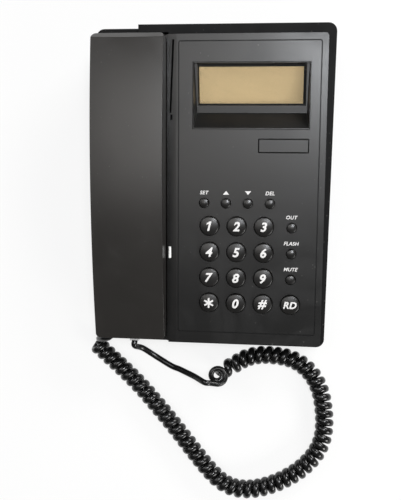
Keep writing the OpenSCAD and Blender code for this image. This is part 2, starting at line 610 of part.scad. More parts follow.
function to_world(p) = [p[0], face_y + p[1] * cos(face_slope) - p[2] * sin(face_slope),
  face_mid_z + p[1] * sin(face_slope) + p[2] * cos(face_slope)];
function curve(a, b, c, d, t) = 0.5 * (2 * b + (c - a) * t + (2 * a - 5 * b + 4 * c - d) * t * t + (3 * b - a - 3 * c + d) * t * t * t);
function smooth(p, n) = [for (i = [0 : len(p) - 2]) for (j = [0 : n - 1])
  curve(i > 0 ? p[i - 1] : 2 * p[0] - p[1], p[i], p[i + 1], i + 2 < len(p) ? p[i + 2] : 2 * p[i + 1] - p[i], j / n), p[len(p) - 1]];
function lengths(p) = [for (i = 0, s = 0; i < len(p); s = s + (i + 1 < len(p) ? norm(p[i + 1] - p[i]) : 0), i = i + 1) s];
function length_of(p) = let (s = lengths(p)) s[len(s) - 1];
function ease(x) = let (c = max(0, min(1, x))) c * c * (3 - 2 * c);

cord_start = to_world([jack_u, hs_plug_end, jack_lv]);
cord_dir = [0, -cos(face_slope), -sin(face_slope)];
axis_fine = smooth(from_front(axis_route), 10);
axis_len = lengths(axis_fine);
axis_total = axis_len[len(axis_len) - 1];
axis_tab = [for (k = [0 : 2]) [for (i = [0 : len(axis_fine) - 1]) [axis_len[i], axis_fine[i][k]]]];
function on_axis(s) = [for (k = [0 : 2]) lookup(s, axis_tab[k])];
ring_count = ring * curls + coil_part;
function spread_raw(t) = t + open_end * ease((t - open_at) / open_len);
function spread(t) = (spread_raw(t) - spread_raw(0)) / (spread_raw(1) - spread_raw(0));
function curl_r(i) = let (c = (ring_count - i) / ring) coil_r + coil_loose * ease(1.1 - c) - coil_dip * ease(1 - abs(c - 1.5) / 1.1);
axis_at = [for (i = [0 : ring_count]) on_axis(axis_total * spread(i / ring_count))];
axis_t = tangents(axis_at);
axis_n = normals(axis_t, [0, 0, 1]);
coil_path = [for (i = [0 : ring_count]) let (a = coil_phase - 360 * i / ring)
  axis_at[i] + curl_r(i) * (cos(a) * axis_n[i] + sin(a) * cross(axis_t[i], axis_n[i]))];
lead_fine = smooth(concat([cord_start, cord_start + 2.6 * cord_dir], from_front(lead_route), [coil_path[0], coil_path[1]]), 3);
lead_path = [for (i = [0 : len(lead_fine) - 5]) lead_fine[i]];
coil_end = [for (i = [ring_count - 2 : ring_count]) coil_path[i]];
coil_step = coil_end[2] - coil_end[1];
coil_out = unit(coil_step + 0.42 * (coil_step - coil_end[1] + coil_end[0]));
coil_last = coil_end[2] + cord_d * coil_out;
cord_path = concat(lead_path, coil_path, [coil_last]);
tail_end = [base_jack_x, base_plug_end, base_jack_z];
tail_path = smooth(concat([coil_last, coil_last + cord_d * coil_out], from_front(tail_route), [tail_end - [0, cord_d, 0], tail_end]), 2);

// Least distance between places on a path that lie more than a set length apart along it.
function near(p, s, apart) = min([for (i = [0 : len(p) - 1]) for (j = [i + 1 : 1 : len(p) - 1]) if (s[j] - s[i] > apart) norm(p[i] - p[j])]);

module curly_cord() color(darker) {
  whole = concat(cord_path, [for (i = [1 : len(tail_path) - 1]) tail_path[i]]);
  echo(least_self_gap = near(whole, lengths(whole), 3.3 * cord_d) - cord_d, curled_length = length_of(cord_path),
       tail_length = length_of(tail_path), axis_length = axis_total);
  tube(cord_path, cord_d, 6, cord_dir, coil_out);
}
module cord_tail() color(darker) tube(tail_path, cord_d, 8, coil_out, [0, 1, 0]);

// Keys: a cap, a collar that stops under the cover and a post that reaches toward the board.

module key_body(p, d, h, post) color(charcoal) on_face() translate(p) {
  rod(d, collar_low + e, h - 0.7);
  translate([0, 0, h - 0.7 - e]) cylinder(d1 = d, d2 = d - 1, h = 0.5);
  intersection() {
    rod(d - 1, h - 0.3, h + 3);
    translate([0, 0, h - d * 2.2]) sphere(d * 2.2, $fn = 96);
  }
  rod(d + 2 * (key_gap + collar_over), collar_low, -cover_t);
  rod(post, board_lv + key_travel + slack, collar_low + e);
}
module key(i) key_body(key_places[i], key_d, key_h, key_post);
module button(i) key_body(button_places[i], button_d, button_h, button_post);
module key_1() key(0);
module key_2() key(1);
module key_3() key(2);
module key_4() key(3);
module key_5() key(4);
module key_6() key(5);
module key_7() key(6);
module key_8() key(7);
module key_9() key(8);
module key_star() key(9);
module key_0() key(10);
module key_hash() key(11);
module key_redial() key(12);
module button_set() button(0);
module button_up() button(1);
module button_down() button(2);
module button_delete() button(3);
module button_out() button(4);
module button_flash() button(5);
module button_mute() button(6);

// Handset: an outer shell, an inner shell with the two cups, and what they hold.

// The arch's solid drawn in by i on every side: a wide disc that lies across the handset, with bevelled rims and a crown.
module hs_barrel(i) let (r = arch_r - i, h = hs_w - 2 * i) translate([hs_u0 + i, arch_c[0], arch_c[1]]) rotate([0, 90, 0])
  rotate_extrude($fn = 720) polygon([[0, 0], [r - hs_edge, 0], [r, hs_edge], [r + hs_crown, h / 2], [r, h - hs_edge], [r - hs_edge, h], [0, h]]);
module end_bevels() along_u(hs_u0 - 1, hs_u1 + 1) {
  let (v = hs_v1 - hs_bevel, t = arch(v) + hs_crown) polygon([[hs_v1, t - hs_bevel - 1.7], [hs_v1 + 9, t - hs_bevel - 1.7], [hs_v1 + 9, t + 9], [v, t + 9], [v, t]]);
  let (v = hs_v0 + 1.4, t = arch(v) + hs_crown) polygon([[hs_v0, t - 2.2], [v, t], [v, t + 9], [hs_v0 - 9, t + 9], [hs_v0 - 9, t - 2.2]]);
}
module handset_outer_shell() color(charcoal) on_face() difference() {
  union() {
    difference() {
      intersection() {
        hs_barrel(0);
        rbox(hs_u0, hs_u1, hs_v0, hs_v1, hs_split, far, 2.6);
      }
      end_bevels();
      intersection() {
        hs_barrel(hs_wall);
        box(hs_u0, hs_u1, hs_v0 + hs_wall + 0.2, hs_v1 - hs_bevel - hs_wall, hs_split - 1, far);
      }
    }
    for (v = hs_screw_v) translate([mid_u, v, 0]) rod(hs_boss, hs_under + hs_wall, arch(v) - hs_wall / 2);
  }
  for (v = hs_screw_v) translate([mid_u, v, 0]) rod(hs_screw + fit, hs_under, hs_under + hs_wall + 9);
}

module handset_inner_shell() color(charcoal) on_face() difference() {
  union() {
    rbox(hs_u0 + hs_step, hs_u1 - hs_step, inner_v0, inner_v1, hs_under, hs_split, 2.6);
    cup(ear_v, ear_l, 0, cup_lv, hs_under + 1);
    cup(mouth_v, mouth_l, 0, cup_lv, hs_under + 1);
  }
  rbox(hs_u0 + hs_step + hs_wall, hs_u1 - hs_step - hs_wall, inner_v0 + hs_wall, inner_v1 - hs_wall, hs_under + hs_wall, 0, 0.5);
  cup(ear_v, ear_l, -hs_wall, cup_lv + hs_wall, 0);
  cup(mouth_v, mouth_l, -hs_wall, cup_lv + hs_wall, 0);
  translate([mid_u, ear_v, 0]) { rod(2, -far, 0); for (a = [0 : 60 : 300]) rotate([0, 0, a]) translate([5, 0, 0]) rod(2, -far, 0); }
  translate([mid_u, mouth_v, 0]) for (x = [-3, 0, 3]) translate([x, 0, 0]) rod(1.8, -far, 0);
  box(jack_u - plug_w / 2 - plug_gap - fit, jack_u + plug_w / 2 + plug_gap + fit, inner_v0 - 1, hs_jack_v + 1,
      jack_lv - plug_h / 2 - plug_gap - fit, 0);
  for (v = hs_screw_v) translate([mid_u, v, 0]) { rod(hs_screw + 2.8, hs_under - 1, hs_under + 1.1); rod(hs_screw + 0.2, hs_under - 1, 0); }
}

module receiver_capsule() color([0.35, 0.35, 0.36]) on_face() translate([mid_u, ear_v, 0]) {
  translate([0, 0, cup_lv + hs_wall + gasket_t]) {
    rod(capsule_d, 0, capsule_h);
    rod(capsule_back_d, capsule_h - e, capsule_h + capsule_back_h);
  }
}
module receiver_gasket() color([0.16, 0.16, 0.16]) on_face() translate([mid_u, ear_v, 0]) difference() {
  rod(capsule_d, cup_lv + hs_wall, cup_lv + hs_wall + gasket_t);
  rod(capsule_back_d, -far, 0);
}
module microphone_boot() color([0.14, 0.14, 0.14]) on_face() translate([mid_u, mouth_v, 0]) difference() {
  rod(mic_d + 4.3, cup_lv + hs_wall, cup_lv + hs_wall + mic_h + 1.2);
  rod(mic_d + fit, cup_lv + hs_wall + 1, 0);
  rod(mic_d - 0.9, -far, 0);
}
module microphone() color([0.6, 0.6, 0.62]) on_face() translate([mid_u, mouth_v, 0]) rod(mic_d, cup_lv + hs_wall + 1, cup_lv + hs_wall + 1 + mic_h);
module handset_weight() color(steel) on_face() box(mid_u - weight_w / 2, mid_u + weight_w / 2, hs_screw_v[0] + 10, hs_screw_v[1] - 16, hs_under + hs_wall, hs_under + hs_wall + weight_h);
module handset_screws() color(steel) on_face() for (v = hs_screw_v) translate([mid_u, v, 0]) {
  rod(hs_screw + 2.6, hs_under + 0.1, hs_under + 1.1);
  rod(hs_screw, hs_under + 1, hs_under + hs_wall + 8);
}
module handset_jack() color(grey) on_face() translate([jack_u, hs_jack_v, jack_lv])
  cord_socket(plug_w + 2 * plug_gap, plug_h + 2 * plug_gap, jack_l);
module handset_plug() color(clear) on_face() translate([jack_u, 0, jack_lv]) cord_plug(hs_jack_v + jack_l - jack_t, hs_plug_end);

base_tray();
top_cover();
display_bezel();
display_window();
lcd_glass();
display_carrier();
badge_plate();
key_mat();
main_board();
board_screws();
indicator_lens();
indicator_led();
ringer_disc();
line_jack();
base_jack();
ballast_plate();
cover_screws();
feet();
hook_bracket();
hook_spring();
hook_switch();
hook_plunger();
base_plug();
key_1();
key_2();
key_3();
key_4();
key_5();
key_6();
key_7();
key_8();
key_9();
key_star();
key_0();
key_hash();
key_redial();
button_set();
button_up();
button_down();
button_delete();
button_out();
button_flash();
button_mute();
handset_outer_shell();
handset_inner_shell();
receiver_capsule();
receiver_gasket();
microphone();
microphone_boot();
handset_weight();
handset_screws();
handset_jack();
handset_plug();
curly_cord();
cord_tail();
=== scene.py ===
"""Corded desk telephone: the visual model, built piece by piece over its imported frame."""

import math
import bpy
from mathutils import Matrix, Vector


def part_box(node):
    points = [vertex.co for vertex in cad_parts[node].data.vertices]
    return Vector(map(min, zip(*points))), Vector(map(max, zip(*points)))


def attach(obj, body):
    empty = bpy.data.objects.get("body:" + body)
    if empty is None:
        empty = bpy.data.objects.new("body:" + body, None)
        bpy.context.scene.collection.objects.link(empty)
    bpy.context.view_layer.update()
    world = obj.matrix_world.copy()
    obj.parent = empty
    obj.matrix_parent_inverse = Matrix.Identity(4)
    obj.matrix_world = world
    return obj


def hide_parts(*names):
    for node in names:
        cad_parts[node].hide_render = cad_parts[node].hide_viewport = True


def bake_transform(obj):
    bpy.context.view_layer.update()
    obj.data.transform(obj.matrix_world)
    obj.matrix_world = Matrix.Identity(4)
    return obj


bl_info = {
    "name": "Corded Desk Telephone",
    "version": (1, 0, 0),
    "blender": (4, 5, 0),
    "location": "View3D > Sidebar > Telephone",
    "description": "Builds a desk telephone with keypad, display, handset and curly cord",
    "category": "Add Mesh",
}

import bmesh
import bpy
from bpy.props import FloatProperty, FloatVectorProperty, IntProperty, PointerProperty
from mathutils import Matrix, Vector
from mathutils.kdtree import KDTree

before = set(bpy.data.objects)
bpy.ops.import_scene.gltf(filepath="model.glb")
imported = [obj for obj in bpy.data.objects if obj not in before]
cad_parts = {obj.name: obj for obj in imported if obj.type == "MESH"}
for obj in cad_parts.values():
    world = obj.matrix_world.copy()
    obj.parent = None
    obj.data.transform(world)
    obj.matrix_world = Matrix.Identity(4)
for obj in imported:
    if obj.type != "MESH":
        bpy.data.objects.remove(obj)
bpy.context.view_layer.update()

MM = 0.001

# The face: its slope, the height of its middle and how far it stands above the tray's rim
SLOPE = math.radians(8)
FACE_HEIGHT = 41 * MM
SKIRT = 4.5 * MM
# The face's own axes: x across, y up the slope and z square to it
FACE = Matrix.Translation((0, -SKIRT * math.sin(SLOPE), FACE_HEIGHT)) @ Matrix.Rotation(SLOPE, 4, "X")
UP = FACE.to_3x3() @ Vector((0, 0, 1))

KEYS = {"key_" + digit: digit for digit in "123456789"}
KEYS |= {"key_star": "*", "key_0": "0", "key_hash": "#", "key_redial": "RD"}
BUTTONS = {
    "button_set": "SET", "button_up": "UP", "button_down": "DOWN", "button_delete": "DEL",
    "button_out": "OUT", "button_flash": "FLASH", "button_mute": "MUTE",
}

# Keys and buttons in millimetres: collar and its play under the cover, edge and crown of a top, steps
COLLAR, COLLAR_PLAY = 1.2, 0.05
COLLAR_LOW, COLLAR_HIGH = -3.85, -2.55
KEY_EDGE, KEY_CROWN, KEY_STEPS = 0.75, 0.45, 48
BUTTON_EDGE, BUTTON_CROWN, BUTTON_STEPS = 0.6, 0.3, 36
EDGE_STEPS, CROWN_STEPS = 5, 6

# Legends in metres: thickness of the ink, its lift off a key and off a flat, and squares that follow a crown
INK, KEY_LIFT, LIFT, QUILT = 0.00003, 0.00002, 0.00001, 0.0007
# Lean of the letters, weight of words and numerals, and the redial key's letters as a share of a numeral
LEAN, WORD_WEIGHT, NUMERAL_WEIGHT, REDIAL_SHARE = 0.22, 0.02, 0.032, 0.74
# Reach and half width of the star's arms, radius and stretch of an arrow, and a word's rise over its button
STAR_REACH, STAR_HALF = 0.0031, 0.00055
ARROW, ARROW_STRETCH = 0.0017, (1.25, 0.88, 1)
WORD_RISE = 0.0063

# Points that are one in a copied mesh, a built one and a cut legend, slack of a height, and a sharp angle
MERGE, TOUCH, CUT, SLACK, SHARP = 2e-6, 1e-6, 1e-7, 1e-5, 40
# How far a face points up that is flat, level, gently sloped or steep
FLAT, LEVEL, GENTLE, STEEP = 0.9995, 0.95, (0.9, 0.97), 0.6
# The cover: its rim, what is flush with the face, its groove and the slot beside the channel, whose faces get
# painted shade
RIM_WIDTH, FLUSH = 0.0021, 0.00005
GROOVE_TOP, GROOVE_DEEP = -0.00003, -0.0015
SLOT_INSET, SLOT_WIDTH, SLOT_MARGIN = 0.0003, 0.0052, 0.001
SLOT_FLOOR, SLOT_DEEP = -0.0025, -0.0035
# The screen's mask: its play in the glass, first inset and thickness, and its opening and that one's shift
MASK_PLAY, MASK_INSET, MASK_INK = 0.0006, 0.001, 0.00004
OPENING, OPENING_SHIFT = (0.0623, 0.0219), (0.0005, 0.0007)
# Chamfer of the bare plate and rounding of the lens
CHAMFER_WIDTH, CHAMFER_DEPTH, LENS_EDGE = 0.0006, 0.0003, 0.0006
# The handset: seam, crown, height of its first block, cuts along its axes, angle of its rim, bevel at the ear
SEAM, CROWN, BLOCK = -0.001, 0.0006, 0.004
HANDSET_CUTS, RIM_ANGLE = ((1, 40), (0, 8)), 24
EAR_RUN, EAR_DROP = 0.0031, 0.0048

# Route of the cord in millimetres, with y from the front edge of the tray: its lead from the handset's
# plug, the axis of its curls and its straight tail
LEAD_ROUTE = ((-62.3, 2.6, 24), (-65.6, 1.1, 23), (-70, 0, 20.4), (-73.4, -0.8, 15.4))
CURL_ROUTE = (
    (-77.4, -4.6, 7), (-74.2, -7.6, 6.6), (-70.2, -11.2, 6.2), (-62.4, -17.8, 6.1), (-54.2, -25, 6.1),
    (-45.5, -33.3, 6.1), (-36.9, -42.5, 6.1), (-27.6, -52.8, 6.1), (-18.2, -63.8, 6.1), (-8.6, -75.2, 6.1),
    (0.2, -85, 6.1), (8.4, -91.9, 6.1), (17, -95.2, 6.1), (27, -95.3, 6.1), (37, -92.8, 6.1),
    (47.3, -88.2, 6.1), (57.8, -81.2, 6.1), (66.6, -71.8, 6.1), (71.5, -61.6, 6.1), (72.8, -50.9, 6.1),
    (72, -40.3, 6.1), (69.8, -30.3, 6.1), (65.4, -21.3, 6.1), (58.8, -14.4, 6.1), (50.4, -10.1, 6.1),
    (40.4, -8.4, 6.1), (30.4, -8.5, 6.1), (22.4, -10.6, 6.1), (17, -13.6, 6.1), (11.9, -16.8, 6.1),
    (8.1, -19.2, 7.3), (5.3, -21, 10.6), (4.3, -21.6, 15.1), (4.8, -20.7, 20.1),
)
TAIL_ROUTE = (
    (-9.8, -22.6, 16.6), (-15.2, -21.1, 12.4), (-21.2, -19.4, 8.4), (-27.2, -17.9, 5), (-37.8, -12.7, 2),
    (-46.4, -7.2, 4.4),
)

# Steps of the cord's path to an eighth of a curl, a curl, the next point and a flat tail; its tubes' sides
EIGHTH = 3
CURL = 8 * EIGHTH
AXIS_STEPS, LEAD_STEPS, TAIL_STEPS, FLATTENING = 10, 3 * EIGHTH, 8, 12
CURL_SIDES, TAIL_SIDES = 14, 16
# The last curls: where along the axis they open, over what share and how far
OPEN_AT, OPEN_SHARE, OPEN_SPREAD = 0.945, 0.045, 0.02
# Growth of the last curl and dip of the one before it, the curls in which they ease in, and the dip's middle
LAST_GROWTH, DIP, LAST_CURLS, DIP_AT = 0.001, 0.0016, 1.1, 1.5
# Straight run out of the plug, place of the split, and reach and share of the gap to the next curl
PLUG_RUN, SPLIT_X, NEAR, NEAR_SHARE = 0.0026, 0.017, 0.006, 0.96

DUST = (0.32, 0.31, 0.29, 1)
# Lights: name, value of the power, place, aim, size and colour
LIGHTS = (
    ("window", "window_light", (-0.15, 0.01, 0.95), (-0.15, 0.01, 0.0), (0.55, 0.44), (1.0, 0.97, 0.94)),
    ("overhead", "key_light", (0.19, 0.08, 0.95), (0.02, 0.02, 0.04), (0.15, 0.15), (0.93, 0.96, 1.0)),
    ("left", "left_light", (-0.75, 0.32, 0.75), (-0.02, 0.03, 0.04), (0.5, 0.5), (0.97, 0.98, 1.0)),
    ("side", "side_light", (0.6, 0.7, 0.55), (0.0, 0.0, 0.03), (0.6, 0.3), (1.0, 0.99, 0.98)),
    ("front", "front_light", (0.8, -0.8, 0.55), (0.0, 0.0, 0.0), (0.6, 0.4), (1.0, 0.99, 0.97)),
)
# Camera: its place, and its right, up and back directions
CAMERA_PLACE = (0.04847, -0.03633, 0.49846)
CAMERA_AXES = ((0.9929, 0.0227, -0.1169), (-0.0230, 0.9997, -0.0007), (0.1169, 0.0034, 0.9931))


# Sizes and colours that a user would change


class TelephoneFinish(bpy.types.PropertyGroup):
    """Colours and sheen of the telephone."""

    body: FloatVectorProperty(
        name="Body", description="Colour of the cover and the display bezel",
        subtype="COLOR", min=0, max=1, default=(0.0068, 0.0067, 0.0066))
    # Lighter than the body's charcoal plastic: the lift is painted light on the handset
    handset: FloatVectorProperty(
        name="Handset", description="Colour of the handset",
        subtype="COLOR", min=0, max=1, default=(0.020, 0.0185, 0.0170))
    tray: FloatVectorProperty(
        name="Tray", description="Colour of the tray",
        subtype="COLOR", min=0, max=1, default=(0.006, 0.006, 0.0061))
    keys: FloatVectorProperty(
        name="Keys", description="Colour of the keys and buttons",
        subtype="COLOR", min=0, max=1, default=(0.0085, 0.0080, 0.0076))
    legend: FloatVectorProperty(
        name="Legends", description="Colour of the printed numerals and words",
        subtype="COLOR", min=0, max=1, default=(0.72, 0.71, 0.70))
    screen: FloatVectorProperty(
        name="Screen", description="Colour of the blank display",
        subtype="COLOR", min=0, max=1, default=(0.84, 0.635, 0.345))
    cord: FloatVectorProperty(
        name="Cord", description="Colour of the cord's jacket",
        subtype="COLOR", min=0, max=1, default=(0.0045, 0.0045, 0.0046))
    sheen: FloatProperty(
        name="Roughness", description="Roughness of the moulded body",
        subtype="FACTOR", min=0.05, max=1, default=0.33)


class TelephoneSizes(bpy.types.PropertyGroup):
    """Small sizes of the dressed pieces."""

    edge: FloatProperty(
        name="Edge", description="Rounding of the moulded edges",
        unit="LENGTH", min=0.0001, max=0.001, default=0.00016)
    rim: FloatProperty(
        name="Rim", description="Rounding of the cover's outer rim",
        unit="LENGTH", min=0.0001, max=0.001, default=0.00065)
    handset_edge: FloatProperty(
        name="Handset edge", description="Rounding of the handset's edges",
        unit="LENGTH", min=0.0003, max=0.002, default=0.0013)
    handset_corner: FloatProperty(
        name="Handset corner", description="Corner radius of the handset",
        unit="LENGTH", min=0.001, max=0.006, default=0.0026)
    ear_fall: FloatProperty(
        name="Ear fall", description="Fall of the handset's arch toward the ear end",
        unit="LENGTH", min=0, max=0.01, default=0.0055)
    mouth_fall: FloatProperty(
        name="Mouth fall", description="Fall of the handset's arch toward the mouth end",
        unit="LENGTH", min=0, max=0.01, default=0.009)
    numeral: FloatProperty(
        name="Numeral", description="Height of the numerals on the keys",
        unit="LENGTH", min=0.002, max=0.008, default=0.0058)
    word: FloatProperty(
        name="Word", description="Height of the words beside the buttons",
        unit="LENGTH", min=0.001, max=0.005, default=0.00225)


class TelephoneCord(bpy.types.PropertyGroup):
    """Sizes of the curly cord."""

    strand: FloatProperty(
        name="Strand", description="Thickness of the cord",
        unit="LENGTH", min=0.002, max=0.005, default=0.0035)
    ribbon: FloatProperty(
        name="Ribbon", description="Width of the cord along the curls",
        unit="LENGTH", min=0.002, max=0.006, default=0.0046)
    curl: FloatProperty(
        name="Curl", description="Radius of a curl to the middle of the cord",
        unit="LENGTH", min=0.002, max=0.006, default=0.0042)
    curls: IntProperty(name="Curls", description="Number of curls", min=20, max=80, default=60)
    tail_width: FloatProperty(
        name="Tail width", description="Width of the flat tail",
        unit="LENGTH", min=0.002, max=0.005, default=0.0039)
    tail_height: FloatProperty(
        name="Tail height", description="Height of the flat tail",
        unit="LENGTH", min=0.001, max=0.005, default=0.0026)


class TelephoneStage(bpy.types.PropertyGroup):
    """Light and camera."""

    lens: FloatProperty(
        name="Lens", description="Focal length of the camera, in millimetres on a 36 mm sensor",
        min=20, max=200, default=54.72)
    window_light: FloatProperty(
        name="Window light", description="Power of the broad light overhead",
        unit="POWER", min=0, max=200, default=1.7)
    key_light: FloatProperty(
        name="Overhead light", description="Power of the small light overhead",
        unit="POWER", min=0, max=200, default=4)
    left_light: FloatProperty(
        name="Left light", description="Power of the light from the left",
        unit="POWER", min=0, max=200, default=2.5)
    side_light: FloatProperty(
        name="Side light", description="Power of the light from the right and behind",
        unit="POWER", min=0, max=200, default=7)
    front_light: FloatProperty(
        name="Front light", description="Power of the light from the front",
        unit="POWER", min=0, max=200, default=8)
    fill_light: FloatProperty(
        name="Room light", description="Strength of the even light from all round", min=0, max=2, default=0.1)


# Materials


def wire(tree, node, sockets):
    """Put a value or a link on each named socket of a node."""
    for name, value in sockets.items():
        if isinstance(value, bpy.types.NodeSocket):
            tree.links.new(value, node.inputs[name])
        else:
            node.inputs[name].default_value = value


def added(tree, kind, output, sockets, **settings):
    """Output of a new node with its settings, and with a value or a link on each named socket."""
    node = tree.nodes.new(kind)
    for name, value in settings.items():
        setattr(node, name, value)
    wire(tree, node, sockets)
    return node.outputs[output]


def noise(tree, where, scale, detail, rough=0.5, distortion=0.0):
    """A noise pattern on the given coordinates."""
    return added(tree, "ShaderNodeTexNoise", "Fac", {
        "Vector": where, "Scale": scale, "Detail": detail, "Roughness": rough, "Distortion": distortion})


def mixed(tree, kind, factor, first, second):
    """A mix of two values of a kind."""
    return added(
        tree, "ShaderNodeMix", "Result", {"Factor": factor, "A": first, "B": second}, data_type=kind)


def moulded_surface():
    """Pattern of a moulded surface: grain, mottling, smudges and specks of dust."""
    name = "Moulded surface"
    if name in bpy.data.node_groups:
        return bpy.data.node_groups[name]
    group = bpy.data.node_groups.new(name, "ShaderNodeTree")
    sockets = {"INPUT": ("Grain Scale", "Dust"), "OUTPUT": ("Grain", "Mottle", "Smudge", "Dust")}
    for way, labels in sockets.items():
        for label in labels:
            group.interface.new_socket(name=label, in_out=way, socket_type="NodeSocketFloat")
    given = group.nodes.new("NodeGroupInput").outputs
    where = added(group, "ShaderNodeTexCoord", "Object", {})
    grain = noise(group, where, given["Grain Scale"], detail=3.0, rough=0.6)
    mottle = noise(group, where, scale=40.0, detail=4.0, rough=0.6)
    smudge = noise(group, where, scale=22.0, detail=5.0, rough=0.62, distortion=1.4)
    soft = added(group, "ShaderNodeMapRange", "Result", {
        "Value": smudge, "From Min": 0.42, "From Max": 0.68}, interpolation_type="SMOOTHSTEP")
    speck = added(group, "ShaderNodeTexVoronoi", "Distance", {"Vector": where, "Scale": 260.0})
    dot = added(group, "ShaderNodeMapRange", "Result", {"Value": speck, "From Min": 0.11, "From Max": 0.05})
    patch = added(group, "ShaderNodeMath", "Value", {0: dot, 1: soft}, operation="MULTIPLY")
    dust = added(group, "ShaderNodeMath", "Value", {0: patch, 1: given["Dust"]}, operation="MULTIPLY")
    wire(group, group.nodes.new("NodeGroupOutput"), {
        "Grain": grain, "Mottle": mottle, "Smudge": soft, "Dust": dust})
    return group


def plain_material(name):
    """A new material, its node tree and its Principled shader."""
    material = bpy.data.materials.new(name)
    material.use_nodes = True
    shader = material.node_tree.nodes["Principled BSDF"]
    return material, material.node_tree, shader


def moulded(name, colour, roughness, grain=1500.0, relief=0.00002, mottle=0.14, dust=0.25, metallic=0.0,
            specular=0.5, level=0.0):
    """A moulded or machined finish: mottled colour, grained relief, uneven sheen and a little dust.

    A slope with a level is shaded that much nearer to the face, as a soft curve would be.
    """
    if name in bpy.data.materials:
        return bpy.data.materials[name]
    material, tree, shader = plain_material(name)
    surface = tree.nodes.new("ShaderNodeGroup")
    surface.node_tree = moulded_surface()
    wire(tree, surface, {"Grain Scale": grain, "Dust": dust})
    pattern = surface.outputs
    dark = [c * (1 - mottle) for c in colour] + [1]
    tone = mixed(tree, "RGBA", pattern["Mottle"], dark, [min(1, c * (1 + mottle)) for c in colour] + [1])
    dusty = mixed(tree, "RGBA", pattern["Dust"], tone, DUST)
    sheen = added(tree, "ShaderNodeMapRange", "Result", {
        "Value": pattern["Smudge"], "To Min": max(0.02, roughness - 0.03),
        "To Max": min(1.0, roughness + 0.05)})
    bump = {"Height": pattern["Grain"], "Strength": 0.5, "Distance": relief}
    if level:
        normal = added(tree, "ShaderNodeNewGeometry", "Normal", {})
        eased = mixed(tree, "VECTOR", level, normal, UP)
        bump["Normal"] = added(tree, "ShaderNodeVectorMath", "Vector", {0: eased}, operation="NORMALIZE")
    wire(tree, shader, {
        "Base Color": dusty, "Roughness": sheen, "Normal": added(tree, "ShaderNodeBump", "Normal", bump),
        "Metallic": metallic, "Specular IOR Level": specular})
    return material


def screen_material(colour):
    """Blank display: a tan sheet with a slow drift of tone and fine streaks."""
    name = "Blank screen"
    if name in bpy.data.materials:
        return bpy.data.materials[name]
    material, tree, shader = plain_material(name)
    where = added(tree, "ShaderNodeTexCoord", "Object", {})
    drift = noise(tree, where, scale=14.0, detail=2.0)
    streak = added(tree, "ShaderNodeMapping", "Vector", {"Vector": where, "Scale": (2600.0, 120.0, 120.0)})
    both = mixed(tree, "FLOAT", 0.25, drift, noise(tree, streak, scale=1.0, detail=1.0))
    dim, bright = (
        [c * s for c, s in zip(colour, shift)] + [1] for shift in ((0.88, 0.9, 0.96), (1.08, 1.06, 1.02)))
    tone = mixed(tree, "RGBA", both, dim, bright)
    wire(tree, shader, {"Base Color": tone, "Roughness": 0.45, "Specular IOR Level": 0.25})
    return material


def clear_material(name, alpha, colour, roughness):
    """Clear plastic: thin tint with fine scratches in its gloss."""
    if name in bpy.data.materials:
        return bpy.data.materials[name]
    material, tree, shader = plain_material(name)
    where = added(tree, "ShaderNodeTexCoord", "Object", {})
    stretch = added(tree, "ShaderNodeMapping", "Vector", {
        "Vector": where, "Scale": (60.0, 900.0, 900.0), "Rotation": (0.0, 0.0, 0.6)})
    gloss = added(tree, "ShaderNodeMapRange", "Result", {
        "Value": noise(tree, stretch, scale=1.0, detail=3.0), "To Min": max(0.01, roughness - 0.04),
        "To Max": roughness + 0.06})
    wire(tree, shader, {"Base Color": (*colour, 1), "Alpha": alpha, "Roughness": gloss})
    return material


def floor_material():
    """Pale floor that looks white to the eye and keeps a faint shadow."""
    material, tree, _ = plain_material("Pale floor")
    tree.nodes.clear()
    path = tree.nodes.new("ShaderNodeLightPath").outputs
    seen = path["Is Camera Ray"]
    for ray in ("Is Glossy Ray", "Is Transmission Ray"):
        seen = added(tree, "ShaderNodeMath", "Value", {0: seen, 1: path[ray]}, operation="MAXIMUM")
    share = added(tree, "ShaderNodeMath", "Value", {0: seen, 1: 0.8}, operation="MULTIPLY")
    lit = added(tree, "ShaderNodeBsdfDiffuse", "BSDF", {"Color": (0.86, 0.86, 0.85, 1)})
    white = added(tree, "ShaderNodeEmission", "Emission", {})
    mix = added(tree, "ShaderNodeMixShader", "Shader", {"Fac": share, 1: lit, 2: white})
    wire(tree, tree.nodes.new("ShaderNodeOutputMaterial"), {"Surface": mix})
    return material


